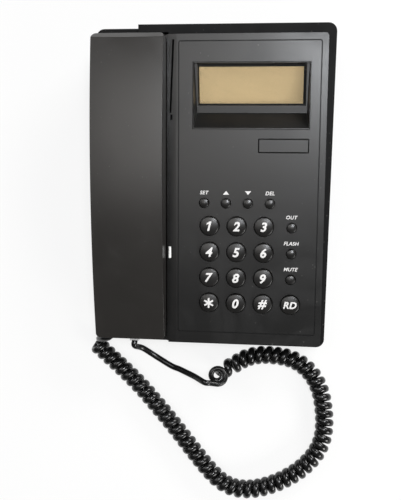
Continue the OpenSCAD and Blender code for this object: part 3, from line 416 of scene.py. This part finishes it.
def finishes(scene):
    """Every finish of the telephone by its own name."""
    f = scene.telephone_finish
    fine, metal = {"relief": 0.000003, "dust": 0.0}, {"relief": 0.000008, "metallic": 1.0}
    return {
        "body": moulded("Charcoal plastic", f.body, f.sheen),
        "tray": moulded("Black plastic", f.tray, f.sheen + 0.27, specular=0.12),
        "bezel": moulded("Bezel plastic", f.body, 0.34, relief=0.00001, dust=0.1),
        # The handset is the body's plastic painted lighter: painted light on its top and bevel
        "handset": moulded("Handset plastic", f.handset, f.sheen - 0.02),
        "keys": moulded("Key plastic", f.keys, 0.3, grain=2200.0, relief=0.000008, dust=0.05),
        "legend": moulded("Legend ink", f.legend, 0.5, relief=0.000005, mottle=0.05, dust=0.0),
        "screen": screen_material(f.screen),
        "mask": moulded("Screen mask", (0.006, 0.006, 0.006), 0.3, **fine),
        "channel": moulded("Channel plastic", f.body, f.sheen, level=0.73),
        # The panel groove's faces get the body colour with a duller sheen: painted shade in the groove
        "groove": moulded("Panel groove", f.body, 0.5, specular=0.28, **fine),
        # Near-black dull finish for the slot's walls and floor: painted shade in the slot
        "slot_shade": moulded("Groove shade", (0.003, 0.003, 0.003), 0.8, specular=0.04, **fine),
        "window": clear_material("Clear window", 0.05, (0.03, 0.03, 0.03), 0.08),
        "plug": clear_material("Clear plug", 0.35, (0.22, 0.22, 0.22), 0.2),
        "cord": moulded("Cord jacket", f.cord, 0.25, grain=1100.0, relief=0.000015, dust=0.12),
        "lens": moulded("White lens", (0.93, 0.93, 0.91), 0.35, relief=0.000004, mottle=0.03, dust=0.0),
        "rubber": moulded("Soft rubber", (0.012, 0.012, 0.012), 0.75, grain=900.0, relief=0.00004),
        "mat": moulded("Key mat rubber", (0.24, 0.25, 0.27), 0.7, grain=900.0, relief=0.00003),
        "board": moulded("Circuit board", (0.012, 0.085, 0.035), 0.35, grain=700.0),
        "steel": moulded("Plated steel", (0.52, 0.52, 0.53), 0.3, grain=1800.0, dust=0.05, **metal),
        "brass": moulded("Brass", (0.62, 0.44, 0.16), 0.3, grain=1600.0, dust=0.05, **metal),
        "can": moulded("Aluminium can", (0.62, 0.63, 0.65), 0.28, grain=1600.0, **metal),
        "grey": moulded("Grey plastic", (0.08, 0.08, 0.085), 0.5),
    }


# Shared building steps


def corners(points):
    """Lowest and highest corner round a list of points."""
    return [Vector([pick(p[i] for p in points) for i in range(3)]) for pick in (min, max)]


def along_face(node):
    """Lowest and highest corner of a CAD node in the face's own axes, in metres."""
    back = FACE.inverted()
    return corners([back @ v.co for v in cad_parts[node].data.vertices])


def middle(node):
    """Middle of a CAD node across the face, and the height of its top."""
    low, high = along_face(node)
    return (low.x + high.x) / 2, (low.y + high.y) / 2, high.z


def add_piece(name, bm, material, body, nodes=(), angle=35, place=None):
    """Turn a bmesh into a finished piece at the origin that moves with a body."""
    if place is not None:
        bmesh.ops.transform(bm, matrix=place, verts=bm.verts)
    mesh = bpy.data.meshes.new(name)
    bm.to_mesh(mesh)
    bm.free()
    mesh.materials.append(material)
    mesh.polygons.foreach_set("use_smooth", [True] * len(mesh.polygons))
    mesh.set_sharp_from_angle(angle=math.radians(angle))
    piece = bpy.data.objects.new(name, mesh)
    bpy.context.scene.collection.objects.link(piece)
    if body:
        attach(piece, body)
    if nodes:
        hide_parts(*nodes)
    return piece


def dress(look, finish_of):
    """Give CAD nodes that stay as they are their finish."""
    for node, finish in finish_of.items():
        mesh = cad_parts[node].data
        mesh.materials.clear()
        mesh.materials.append(look[finish])


def copied(node):
    """A CAD node's mesh as a bmesh, with its doubled points merged."""
    bm = bmesh.new()
    bm.from_mesh(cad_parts[node].data)
    bmesh.ops.remove_doubles(bm, verts=bm.verts, dist=MERGE)
    return bm


def sharp_edges(bm, angle):
    """Edges between two faces that turn by more than an angle in degrees."""
    return [e for e in bm.edges if len(e.link_faces) == 2 and e.calc_face_angle(0) > math.radians(angle)]


def rounded(bm, edges, offset, segments):
    """Round off the given edges."""
    bmesh.ops.bevel(
        bm, geom=edges, offset=offset, offset_type="OFFSET", affect="EDGES", segments=segments, profile=0.5,
        material=-1, clamp_overlap=True)


def even_shading(piece):
    """Shade the broad faces of a piece evenly up to its rounded edges."""
    piece.modifiers.new("Even shading", "WEIGHTED_NORMAL").keep_sharp = True


def softened(node, name, material, body, edge, rim=None, rim_edge=0.0):
    """A copy of a CAD node with its sharp edges rounded, and those that rim picks rounded more."""
    bm = copied(node)
    if rim:
        rounded(bm, [e for e in sharp_edges(bm, SHARP) if rim(e)], rim_edge, segments=4)
    rounded(bm, sharp_edges(bm, SHARP), edge, segments=2)
    piece = add_piece(name, bm, material, body, (node,), 50)
    for face in piece.data.polygons:
        face.use_smooth = face.normal.dot(UP) < FLAT
    even_shading(piece)
    return piece


def shade_sides(mesh, material, where):
    """Give another finish to the faces that where picks by their middle and normal along the face's axes."""
    mesh.materials.append(material)
    back = FACE.inverted()
    turn = back.to_3x3()
    for face in mesh.polygons:
        if where(back @ face.center, turn @ face.normal):
            face.material_index = len(mesh.materials) - 1


def sliced(bm, axis, place, dist):
    """Cut a bmesh right through, square to one of its axes."""
    where, way = Vector(), Vector()
    where[axis], way[axis] = place, 1
    bmesh.ops.bisect_plane(
        bm, geom=bm.verts[:] + bm.edges[:] + bm.faces[:], dist=dist, plane_co=where, plane_no=way)


def turned(profile, steps):
    """A shape turned about its upright axis from a profile of (radius, height) in millimetres."""
    bm = bmesh.new()
    verts = [bm.verts.new((r * MM, 0, z * MM)) for r, z in profile]
    edges = [bm.edges.new(pair) for pair in zip(verts, verts[1:])]
    bmesh.ops.spin(
        bm, geom=verts + edges, cent=(0, 0, 0), axis=(0, 0, 1), dvec=(0, 0, 0), angle=2 * math.pi,
        steps=steps, use_merge=True, use_duplicate=False)
    bmesh.ops.remove_doubles(bm, verts=bm.verts, dist=TOUCH)
    bmesh.ops.recalc_face_normals(bm, faces=bm.faces)
    return bm


def key_profile(radius, height, round_edge, crown):
    """Profile of a key in millimetres, from its collar up to its rounded edge and crowned top."""
    wide = radius + (COLLAR - COLLAR_PLAY)
    profile = [
        (0, COLLAR_LOW), (wide, COLLAR_LOW), (wide, COLLAR_HIGH), (radius, COLLAR_HIGH),
        (radius, height - round_edge - crown)]
    for i in range(1, EDGE_STEPS + 1):
        a = math.radians(90 * i / EDGE_STEPS)
        rise = height - crown - round_edge * (1 - math.sin(a))
        profile.append((radius - round_edge * (1 - math.cos(a)), rise))
    flat = radius - round_edge
    for i in range(1, CROWN_STEPS + 1):
        r = flat * (1 - i / CROWN_STEPS)
        profile.append((r, height - crown * (r / flat) ** 2))
    return profile


def add_cap(node, material, edge, crown, steps):
    """Turn the cap of a key, and give its radius in millimetres, the height of its top and its place."""
    low, high = along_face(node)
    u, v, top = middle(node)
    radius, place = (high.x - low.x) / 2 / MM - COLLAR, FACE @ Matrix.Translation((u, v, 0))
    bm = turned(key_profile(radius, top / MM, edge, crown), steps)
    add_piece(node + "_cap", bm, material, node, (node,), 40, place)
    return radius, top, place


# Legends


def lettering(text, height, weight):
    """Flat letters as a bmesh, centred on the origin and of the given height."""
    curve = bpy.data.curves.new("letters", "FONT")
    curve.body = text
    curve.size = 1.0
    curve.shear = LEAN
    curve.offset = weight
    curve.resolution_u = 5
    curve.space_character = 1.06
    carrier = bpy.data.objects.new("letters", curve)
    bpy.context.scene.collection.objects.link(carrier)
    bpy.context.view_layer.update()
    mesh = bpy.data.meshes.new_from_object(carrier.evaluated_get(bpy.context.evaluated_depsgraph_get()))
    bm = bmesh.new()
    bm.from_mesh(mesh)
    bpy.data.objects.remove(carrier)
    bpy.data.curves.remove(curve)
    bpy.data.meshes.remove(mesh)
    if not bm.verts:
        raise RuntimeError("no letters came out of " + text)
    low, high = corners([v.co for v in bm.verts])
    size = height / (high.y - low.y)
    bmesh.ops.translate(bm, verts=bm.verts, vec=-(low + high) / 2)
    bmesh.ops.scale(bm, verts=bm.verts, vec=(size, size, size))
    bmesh.ops.remove_doubles(bm, verts=bm.verts, dist=MERGE)
    return bm


def flat_shape(points, slant=0.0):
    """A flat outline as a bmesh, leaning by the given slant."""
    bm = bmesh.new()
    face = bm.faces.new([bm.verts.new((x + slant * y, y, 0)) for x, y in points])
    face.normal_update()
    bmesh.ops.triangulate(bm, faces=[face])
    return bm


def star(reach, half):
    """A star of six arms, with arms of the given reach and half their width."""
    points = []
    for k in range(6):
        a = math.radians(60 * k + 90)
        c, d, notch = math.cos(a), math.sin(a), a + math.radians(30)
        points += [(reach * c + half * d, reach * d - half * c), (reach * c - half * d, reach * d + half * c)]
        points.append((2 * half * math.cos(notch), 2 * half * math.sin(notch)))
    return flat_shape(points)


def one(height):
    """A numeral one with a flag, of the given height."""
    outline = (
        (-0.1, -0.5), (0.12, -0.5), (0.12, 0.5), (-0.04, 0.5), (-0.32, 0.32), (-0.32, 0.12), (-0.1, 0.26))
    return flat_shape([(x * height, y * height) for x, y in outline], LEAN)


def arrow(turn):
    """A flat arrowhead, centred on the origin and turned from pointing up."""
    bm = bmesh.new()
    bmesh.ops.create_circle(bm, cap_ends=True, radius=ARROW, segments=3)
    bmesh.ops.rotate(bm, verts=bm.verts, cent=(0, 0, 0), matrix=Matrix.Rotation(turn, 3, "Z"))
    bmesh.ops.scale(bm, verts=bm.verts, vec=ARROW_STRETCH)
    low, high = corners([v.co for v in bm.verts])
    bmesh.ops.translate(bm, verts=bm.verts, vec=(0, -(low.y + high.y) / 2, 0))
    return bm


def key_legend(text, height):
    """Flat legend of a key."""
    if text == "*":
        return star(STAR_REACH, STAR_HALF)
    if text == "1":
        return one(height)
    return lettering(text, (REDIAL_SHARE if text == "RD" else 1.0) * height, NUMERAL_WEIGHT)


def quilt(bm, pitch):
    """Cut flat lettering into small squares, so that it can follow a crowned top."""
    for axis in (0, 1):
        reach = max(abs(v.co[axis]) for v in bm.verts)
        steps = int(reach / pitch)
        for i in range(-steps, steps + 1):
            sliced(bm, axis, i * pitch, CUT)


def printed(bm, thickness=INK):
    """Give flat lettering the thickness of its ink."""
    grown = bmesh.ops.extrude_face_region(bm, geom=bm.faces[:])
    bmesh.ops.translate(
        bm, verts=[g for g in grown["geom"] if isinstance(g, bmesh.types.BMVert)], vec=(0, 0, thickness))
    bmesh.ops.recalc_face_normals(bm, faces=bm.faces)


# The cord's path and tube, and the handset's arch


def smooth_route(points, steps):
    """A smooth curve through every point, with that many steps between each two."""
    curve = []
    for i in range(len(points) - 1):
        b, c = points[i], points[i + 1]
        a = points[i - 1] if i else 2 * b - c
        d = points[i + 2] if i + 2 < len(points) else 2 * c - b
        for j in range(steps):
            t = j / steps
            bend, swing = 2 * a - 5 * b + 4 * c - d, 3 * b - a - 3 * c + d
            curve.append(0.5 * (2 * b + (c - a) * t + bend * t ** 2 + swing * t ** 3))
    return curve + [points[-1]]


def carried_normals(tangents, first=Vector((0, 0, 1))):
    """Directions square to each tangent, carried along the path without twisting."""
    normals, n = [], first
    for t in tangents:
        n = (n - n.dot(t) * t).normalized()
        normals.append(n)
    return normals


def path_tangents(path):
    """Direction of a path at each of its points."""
    top = len(path) - 1
    return [(path[min(i + 1, top)] - path[max(i - 1, 0)]).normalized() for i in range(top + 1)]


def curl_path(axis, sizes):
    """Middle line of the curls round an axis, the way outward at each point, and where they are split."""
    reach = [0.0]
    for a, b in zip(axis, axis[1:]):
        reach.append(reach[-1] + (b - a).length)

    def at(s):
        k = min(len(reach) - 2, max(0, next((i for i, r in enumerate(reach) if r > s), len(reach)) - 1))
        return axis[k].lerp(axis[k + 1], min(1, (s - reach[k]) / (reach[k + 1] - reach[k])))

    def ease(x):
        c = max(0.0, min(1.0, x))
        return c * c * (3 - 2 * c)

    def spread(t):
        return t + OPEN_SPREAD * ease((t - OPEN_AT) / OPEN_SHARE)

    count = CURL * sizes.curls + EIGHTH
    base, full = spread(0), spread(1) - spread(0)
    line = [at(reach[-1] * (spread(i / count) - base) / full) for i in range(count + 1)]
    tangents = path_tangents(line)
    path, ways = [], []
    for i, (t, n) in enumerate(zip(tangents, carried_normals(tangents))):
        a = math.radians(-90 - 45 * i / EIGHTH)
        ways.append(math.cos(a) * n + math.sin(a) * t.cross(n))
        left = (count - i) / CURL
        growth, dip = LAST_GROWTH * ease(LAST_CURLS - left), DIP * ease(1 - abs(left - DIP_AT) / LAST_CURLS)
        path.append(line[i] + (sizes.curl + growth - dip) * ways[i])
    return path, ways, next(i for i, p in enumerate(line) if p.x > SPLIT_X)


def ribbon_widths(path, sizes, lead):
    """Width of the cord at each point: full in the curls, round at both ends and clear of its neighbours."""
    tree = KDTree(len(path))
    for i, p in enumerate(path):
        tree.insert(p, i)
    tree.balance()
    widths, top = [], len(path) - 1
    for i, p in enumerate(path):
        near = [gap for _, j, gap in tree.find_range(p, NEAR) if abs(i - j) > 4 * EIGHTH]
        share = min(1.0, (i / lead) ** 2, (top - i) / (6 * EIGHTH))
        full = sizes.strand + (sizes.ribbon - sizes.strand) * share
        widths.append(min([full] + [NEAR_SHARE * gap for gap in near]))
    return widths


def sweep(path, spans, normals, sides):
    """A closed tube along a path, with its own width and height at each point."""
    places = []
    for p, t, n, (width, height) in zip(path, path_tangents(path), normals, spans):
        up = (n - n.dot(t) * t).normalized()
        places.append(Matrix((width * up.cross(t), height * up, t)).transposed().to_4x4())
        places[-1].translation = p
    bm = bmesh.new()
    ring = bmesh.ops.create_circle(bm, cap_ends=True, radius=0.5, segments=sides)["verts"]
    bmesh.ops.transform(bm, matrix=places[0], verts=ring)
    rim = bm.edges[:]
    for a, b in zip(places, places[1:]):
        grown = bmesh.ops.extrude_edge_only(bm, edges=rim)["geom"]
        rim = [g for g in grown if isinstance(g, bmesh.types.BMEdge)]
        verts = {g for g in grown if isinstance(g, bmesh.types.BMVert)}
        bmesh.ops.transform(bm, matrix=b @ a.inverted(), verts=list(verts))
        rim = [e for e in rim if e.verts[0] in verts and e.verts[1] in verts]
    bmesh.ops.contextual_create(bm, geom=rim)
    bmesh.ops.recalc_face_normals(bm, faces=bm.faces)
    return bm


def arch_through(front, rear, top, front_fall, rear_fall):
    """Height along a circle through both ends of the handset and its top."""
    a, b = Vector((front, top - front_fall)), Vector(((front + rear) / 2, top))
    c = Vector((rear, top - rear_fall))
    d = 2 * (a.x * (b.y - c.y) + b.x * (c.y - a.y) + c.x * (a.y - b.y))
    x = (a.dot(a) * (b.y - c.y) + b.dot(b) * (c.y - a.y) + c.dot(c) * (a.y - b.y)) / d
    y = (a.dot(a) * (c.x - b.x) + b.dot(b) * (a.x - c.x) + c.dot(c) * (b.x - a.x)) / d
    r = math.hypot(b.x - x, b.y - y)
    return lambda v: y + math.sqrt(r * r - (v - x) ** 2)


# Operators, one for each piece or group of like pieces


class TELEPHONE_OT_cord(bpy.types.Operator):
    """Wind the curly cord from the handset's plug round to its loose end, and lead its tail into the base"""

    bl_idname = "telephone.cord"
    bl_label = "Curly cord"

    def execute(self, context):
        sizes = context.scene.telephone_cord
        material = finishes(context.scene)["cord"]
        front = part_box("base_tray")[0].y
        low, high = along_face("handset_plug")
        start = FACE @ Vector(((low.x + high.x) / 2, low.y, (low.z + high.z) / 2))
        out = FACE.to_3x3() @ Vector((0, -1, 0))
        low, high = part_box("base_plug")
        home = Vector(((low.x + high.x) / 2, low.y, (low.z + high.z) / 2))

        def placed(route):
            return [Vector((x * MM, front + y * MM, z * MM)) for x, y, z in route]

        strand = sizes.strand
        curls, ways, split = curl_path(smooth_route(placed(CURL_ROUTE), AXIS_STEPS), sizes)
        lead = [start, start + PLUG_RUN * out] + placed(LEAD_ROUTE) + [curls[0], curls[EIGHTH]]
        lead = smooth_route(lead, LEAD_STEPS)[:-LEAD_STEPS - 1]
        turns = carried_normals(path_tangents((lead + curls[:2])[::-1]), ways[0])[:1:-1]
        last = (curls[-1] - curls[-2]).normalized()
        path, ways = lead + curls + [curls[-1] + strand * last], turns + ways + ways[-1:]
        split += len(lead)
        spans = [(width, strand) for width in ribbon_widths(path, sizes, len(lead))]
        tail = [path[-1], path[-1] + strand * last] + placed(TAIL_ROUTE)
        tail = smooth_route(tail + [home - Vector((0, strand, 0)), home], TAIL_STEPS)
        flat = [min(1.0, i / FLATTENING) for i in range(len(tail))]
        wider, higher = sizes.tail_width - strand, sizes.tail_height - strand
        tail_spans = [(strand + wider * f, strand + higher * f) for f in flat]

        def tube(name, body, node, *swept):
            return add_piece(name, sweep(*swept), material, body, (node,), 60)

        upper, lower, end = path[:split + 1], path[split:], split + 1
        piece = tube("curls_handset_side", None, "curly_cord", upper, spans[:end], ways[:end], CURL_SIDES)
        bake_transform(piece)
        piece = tube("curls_base_side", "base", "curly_cord", lower, spans[split:], ways[split:], CURL_SIDES)
        up = [Vector((0, 0, 1))] * len(tail)
        piece = tube("cord_flat_tail", "base", "cord_tail", tail, tail_spans, up, TAIL_SIDES)
        return {"FINISHED"}


class TELEPHONE_OT_shells(bpy.types.Operator):
    """Round off the tray and the cover"""

    bl_idname = "telephone.shells"
    bl_label = "Tray and cover"

    def execute(self, context):
        sizes = context.scene.telephone_sizes
        look = finishes(context.scene)
        low, high = along_face("top_cover")
        right, rear, front = high.x - RIM_WIDTH, high.y - RIM_WIDTH, low.y + RIM_WIDTH
        slot = along_face("indicator_lens")[0].x + SLOT_INSET
        panel = slot + SLOT_WIDTH
        back = FACE.inverted()

        def outer(edge):
            ends = [back @ v.co for v in edge.verts]
            return all(p.z > -FLUSH and (p.x > right or p.y > rear or p.y < front) for p in ends)

        # Faces of the panel groove, which get painted shade
        def groove(p, n):
            return panel < p.x < right and front < p.y < rear and GROOVE_DEEP < p.z < GROOVE_TOP

        def channel(p, n):
            return slot - SLOT_MARGIN < p.x < panel + SLOT_MARGIN and GENTLE[0] < n.z < GENTLE[1]

        # Walls and floor of the slot beside the channel, which get near-black painted shade
        def slot_shade(p, n):
            inside = slot < p.x < panel and front < p.y < rear and p.z > SLOT_DEEP
            return inside and (n.z < STEEP or p.z < SLOT_FLOOR)

        softened("base_tray", "tray_shell", look["tray"], "base", sizes.edge)
        cover = softened(
            "top_cover", "face_cover", look["body"], "base", sizes.edge, outer, sizes.rim)
        shade_sides(cover.data, look["groove"], groove)
        shade_sides(cover.data, look["channel"], channel)
        shade_sides(cover.data, look["slot_shade"], slot_shade)
        return {"FINISHED"}


class TELEPHONE_OT_display(bpy.types.Operator):
    """Set the bezel, the screen with its mask and the clear window into the bay"""

    bl_idname = "telephone.display"
    bl_label = "Display"

    def execute(self, context):
        look = finishes(context.scene)
        edge = context.scene.telephone_sizes.edge
        bezel = softened("display_bezel", "bay_bezel", look["bezel"], "base", edge)
        low, high = along_face("display_window")

        # Walls of the opening get the dark mask finish: painted shade at the opening's edges
        def opening_wall_shade(p, n):
            return low.x < p.x < high.x and low.y < p.y < high.y and n.z < STEEP

        shade_sides(bezel.data, look["mask"], opening_wall_shade)
        shade_sides(bezel.data, look["channel"], lambda p, n: n.z > LEVEL)
        dress(look, {"display_window": "window", "display_carrier": "tray", "lcd_glass": "screen"})
        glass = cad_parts["lcd_glass"].data
        flat = max(glass.polygons, key=lambda p: (round(p.normal.z, 3), p.area)).normal
        tilt = Matrix.Rotation(math.atan2(-flat.y, flat.z), 4, "X")
        first, last = corners([tilt.inverted() @ v.co for v in glass.vertices])
        bm = bmesh.new()
        bmesh.ops.create_grid(bm, x_segments=1, y_segments=1, size=0.5)
        bmesh.ops.scale(
            bm, verts=bm.verts, vec=(last.x - first.x - MASK_PLAY, last.y - first.y - MASK_PLAY, 1))
        border = bmesh.ops.inset_individual(bm, faces=bm.faces[:], thickness=MASK_INSET)["faces"]
        hole = [f for f in bm.faces if f not in border]
        for v in hole[0].verts:
            v.co.x = math.copysign(OPENING[0] / 2, v.co.x) - OPENING_SHIFT[0]
            v.co.y = math.copysign(OPENING[1] / 2, v.co.y) - OPENING_SHIFT[1]
        bmesh.ops.delete(bm, geom=hole, context="FACES_ONLY")
        printed(bm, MASK_INK)
        place = tilt @ Matrix.Translation(((first.x + last.x) / 2, (first.y + last.y) / 2, last.z + LIFT))
        add_piece("screen_mask", bm, look["mask"], "base", (), place=place)
        return {"FINISHED"}


class TELEPHONE_OT_nameplate(bpy.types.Operator):
    """Bevel the bare plate below the display"""

    bl_idname = "telephone.nameplate"
    bl_label = "Bare plate"

    def execute(self, context):
        look = finishes(context.scene)
        bm = copied("badge_plate")
        bmesh.ops.transform(bm, matrix=FACE.inverted(), verts=bm.verts)
        top = max(v.co.z for v in bm.verts) - SLACK
        crown = [f for f in bm.faces if min(v.co.z for v in f.verts) > top]
        bmesh.ops.inset_region(
            bm, faces=crown, thickness=CHAMFER_WIDTH, use_boundary=True, use_even_offset=True)
        sides = [f for f in bm.faces if min(v.co.z for v in f.verts) < top]
        outer = [v for v in bm.verts if v.co.z > top and any(f in sides for f in v.link_faces)]
        bmesh.ops.translate(bm, verts=outer, vec=(0, 0, -CHAMFER_DEPTH))
        plate = add_piece(
            "bare_plate", bm, look["body"], "base", ("badge_plate",), 20, FACE)
        # The plate's chamfer and sides get the dull black tray finish: painted shade round the plate
        shade_sides(plate.data, look["tray"], lambda p, n: n.z < LEVEL)
        return {"FINISHED"}


class TELEPHONE_OT_keys(bpy.types.Operator):
    """Turn the keys and print their numerals"""

    bl_idname = "telephone.keys"
    bl_label = "Keys"

    def execute(self, context):
        look = finishes(context.scene)
        numeral = context.scene.telephone_sizes.numeral
        for node, text in KEYS.items():
            radius, top, place = add_cap(node, look["keys"], KEY_EDGE, KEY_CROWN, KEY_STEPS)
            bm = key_legend(text, numeral)
            quilt(bm, QUILT)
            flat = (radius - KEY_EDGE) * MM
            for vert in bm.verts:
                r = min(1.0, vert.co.xy.length / flat)
                vert.co.z = top - KEY_CROWN * MM * r * r + KEY_LIFT
            printed(bm)
            add_piece(node + "_legend", bm, look["legend"], node, (), 40, place)
        return {"FINISHED"}


class TELEPHONE_OT_buttons(bpy.types.Operator):
    """Turn the small buttons"""

    bl_idname = "telephone.buttons"
    bl_label = "Small buttons"

    def execute(self, context):
        material = finishes(context.scene)["keys"]
        for node in BUTTONS:
            add_cap(node, material, BUTTON_EDGE, BUTTON_CROWN, BUTTON_STEPS)
        return {"FINISHED"}


class TELEPHONE_OT_labels(bpy.types.Operator):
    """Print the words and arrows beside the small buttons"""

    bl_idname = "telephone.labels"
    bl_label = "Printed words"

    def execute(self, context):
        look = finishes(context.scene)
        height = context.scene.telephone_sizes.word
        for node, text in BUTTONS.items():
            u, v, _ = middle(node)
            if text in ("UP", "DOWN"):
                bm = arrow(math.pi if text == "DOWN" else 0)
            else:
                bm = lettering(text, height, WORD_WEIGHT)
            printed(bm)
            place = FACE @ Matrix.Translation((u, v + WORD_RISE, LIFT))
            add_piece(node + "_label", bm, look["legend"], "base", (), 40, place)
        return {"FINISHED"}


class TELEPHONE_OT_handset(bpy.types.Operator):
    """Shape the handset's arched outer shell and round off its inner shell"""

    bl_idname = "telephone.handset"
    bl_label = "Handset"

    def execute(self, context):
        sizes, look, node = context.scene.telephone_sizes, finishes(context.scene), "handset_outer_shell"
        low, high = along_face(node)
        half, mid = (high.x - low.x) / 2, (low.x + high.x) / 2
        arch = arch_through(low.y, high.y, high.z - CROWN, sizes.mouth_fall, sizes.ear_fall)
        bm = bmesh.new()
        bmesh.ops.create_cube(bm, size=1)
        bmesh.ops.scale(bm, verts=bm.verts, vec=(high.x - low.x, high.y - low.y, BLOCK))
        bmesh.ops.translate(bm, verts=bm.verts, vec=(mid, (low.y + high.y) / 2, SEAM + BLOCK / 2))
        upright = [e for e in bm.edges if abs(e.verts[0].co.z - e.verts[1].co.z) > BLOCK / 2]
        rounded(bm, upright, sizes.handset_corner, segments=6)
        for axis, count in HANDSET_CUTS:
            for i in range(1, count):
                sliced(bm, axis, low[axis] + (high[axis] - low[axis]) * i / count, TOUCH)
        for v in bm.verts:
            if v.co.z > SEAM + BLOCK / 4:
                v.co.z = arch(v.co.y) + CROWN * (1 - ((v.co.x - mid) / half) ** 2)
        end = high.y - EAR_RUN
        cut = bmesh.ops.bisect_plane(
            bm, geom=bm.verts[:] + bm.edges[:] + bm.faces[:], dist=TOUCH,
            plane_co=(mid, end, arch(end) + CROWN),
            plane_no=Vector((0, EAR_DROP, EAR_RUN)).normalized(), clear_outer=True)["geom_cut"]
        bmesh.ops.contextual_create(bm, geom=[g for g in cut if isinstance(g, bmesh.types.BMEdge)])
        bmesh.ops.recalc_face_normals(bm, faces=bm.faces)
        rim = [e for e in sharp_edges(bm, RIM_ANGLE) if min(v.co.z for v in e.verts) > SEAM + BLOCK / 4]
        rounded(bm, rim, sizes.handset_edge, segments=4)
        even_shading(add_piece(
            "handset_back", bm, look["handset"], "handset", (node,), 50, FACE))
        softened(
            "handset_inner_shell", "handset_underside", look["handset"], "handset", sizes.edge)
        return {"FINISHED"}


class TELEPHONE_OT_fittings(bpy.types.Operator):
    """Finish the lens, plugs, sockets, feet and screws"""

    bl_idname = "telephone.fittings"
    bl_label = "Fittings"

    def execute(self, context):
        look = finishes(context.scene)
        softened("indicator_lens", "lens_bar", look["lens"], "base", LENS_EDGE)
        dress(look, {
            "base_plug": "plug", "handset_plug": "plug", "line_jack": "grey", "base_jack": "grey",
            "handset_jack": "grey", "feet": "rubber", "cover_screws": "steel", "handset_screws": "steel",
            "hook_plunger": "keys",
        })
        return {"FINISHED"}


class TELEPHONE_OT_inner(bpy.types.Operator):
    """Finish the pieces inside the base and the handset"""

    bl_idname = "telephone.inner"
    bl_label = "Inner pieces"

    def execute(self, context):
        dress(finishes(context.scene), {
            "key_mat": "mat", "main_board": "board", "board_screws": "steel", "indicator_led": "lens",
            "ringer_disc": "brass", "ballast_plate": "steel", "hook_bracket": "grey", "hook_spring": "steel",
            "hook_switch": "tray", "receiver_capsule": "can", "receiver_gasket": "rubber",
            "microphone": "can", "microphone_boot": "rubber", "handset_weight": "steel",
        })
        return {"FINISHED"}


class TELEPHONE_OT_stage(bpy.types.Operator):
    """Lay the pale floor and set the light and the camera"""

    bl_idname = "telephone.stage"
    bl_label = "Floor, light and camera"

    def execute(self, context):
        scene, values = context.scene, context.scene.telephone_stage
        bm = bmesh.new()
        bmesh.ops.create_grid(bm, x_segments=1, y_segments=1, size=3)
        floor = add_piece("floor", bm, floor_material(), None)

        for name, power, place, aim, size, colour in LIGHTS:
            light = bpy.data.lights.new(name, "AREA")
            light.shape, light.size, light.size_y = "RECTANGLE", *size
            light.energy, light.color = getattr(values, power), colour
            lamp = bpy.data.objects.new(name, light)
            lamp.location = place
            lamp.rotation_euler = (Vector(aim) - Vector(place)).to_track_quat("-Z", "Y").to_euler()
            scene.collection.objects.link(lamp)

        world = bpy.data.worlds.new("room")
        world.use_nodes = True
        room = world.node_tree.nodes["Background"]
        room.inputs["Color"].default_value = (1.0, 0.99, 0.97, 1)
        room.inputs["Strength"].default_value = values.fill_light
        scene.world = world
        scene.view_settings.view_transform = "Standard"

        camera = bpy.data.cameras.new("camera")
        camera.lens, camera.sensor_width, camera.clip_start = values.lens, 36, 0.01
        eye = bpy.data.objects.new("camera", camera)
        eye.matrix_world = Matrix.Translation(CAMERA_PLACE) @ Matrix(CAMERA_AXES).transposed().to_4x4()
        scene.collection.objects.link(eye)
        scene.camera = eye
        return {"FINISHED"}


STEPS = (
    TELEPHONE_OT_cord, TELEPHONE_OT_shells, TELEPHONE_OT_display, TELEPHONE_OT_nameplate,
    TELEPHONE_OT_keys, TELEPHONE_OT_buttons, TELEPHONE_OT_labels, TELEPHONE_OT_handset,
    TELEPHONE_OT_fittings, TELEPHONE_OT_inner, TELEPHONE_OT_stage,
)
GROUPS = {
    "telephone_finish": TelephoneFinish, "telephone_sizes": TelephoneSizes,
    "telephone_cord": TelephoneCord, "telephone_stage": TelephoneStage,
}


class TELEPHONE_PT_pieces(bpy.types.Panel):
    """Lists the telephone's values and building steps"""

    bl_idname = "TELEPHONE_PT_pieces"
    bl_label = "Telephone"
    bl_space_type = "VIEW_3D"
    bl_region_type = "UI"
    bl_category = "Telephone"

    def draw(self, context):
        for name, group in GROUPS.items():
            box = self.layout.box()
            for value in group.__annotations__:
                box.prop(getattr(context.scene, name), value)
        for step in STEPS:
            self.layout.operator(step.bl_idname)


def register():
    for item in (*GROUPS.values(), *STEPS, TELEPHONE_PT_pieces):
        bpy.utils.register_class(item)
    for name, group in GROUPS.items():
        setattr(bpy.types.Scene, name, PointerProperty(type=group))


def unregister():
    for name in GROUPS:
        delattr(bpy.types.Scene, name)
    for item in (TELEPHONE_PT_pieces, *reversed(STEPS), *GROUPS.values()):
        bpy.utils.unregister_class(item)


def main():
    register()
    bpy.ops.telephone.cord()
    bpy.ops.telephone.shells()
    bpy.ops.telephone.display()
    bpy.ops.telephone.nameplate()
    bpy.ops.telephone.keys()
    bpy.ops.telephone.buttons()
    bpy.ops.telephone.labels()
    bpy.ops.telephone.handset()
    bpy.ops.telephone.fittings()
    bpy.ops.telephone.inner()
    bpy.ops.telephone.stage()


if __name__ == "__main__":
    main()
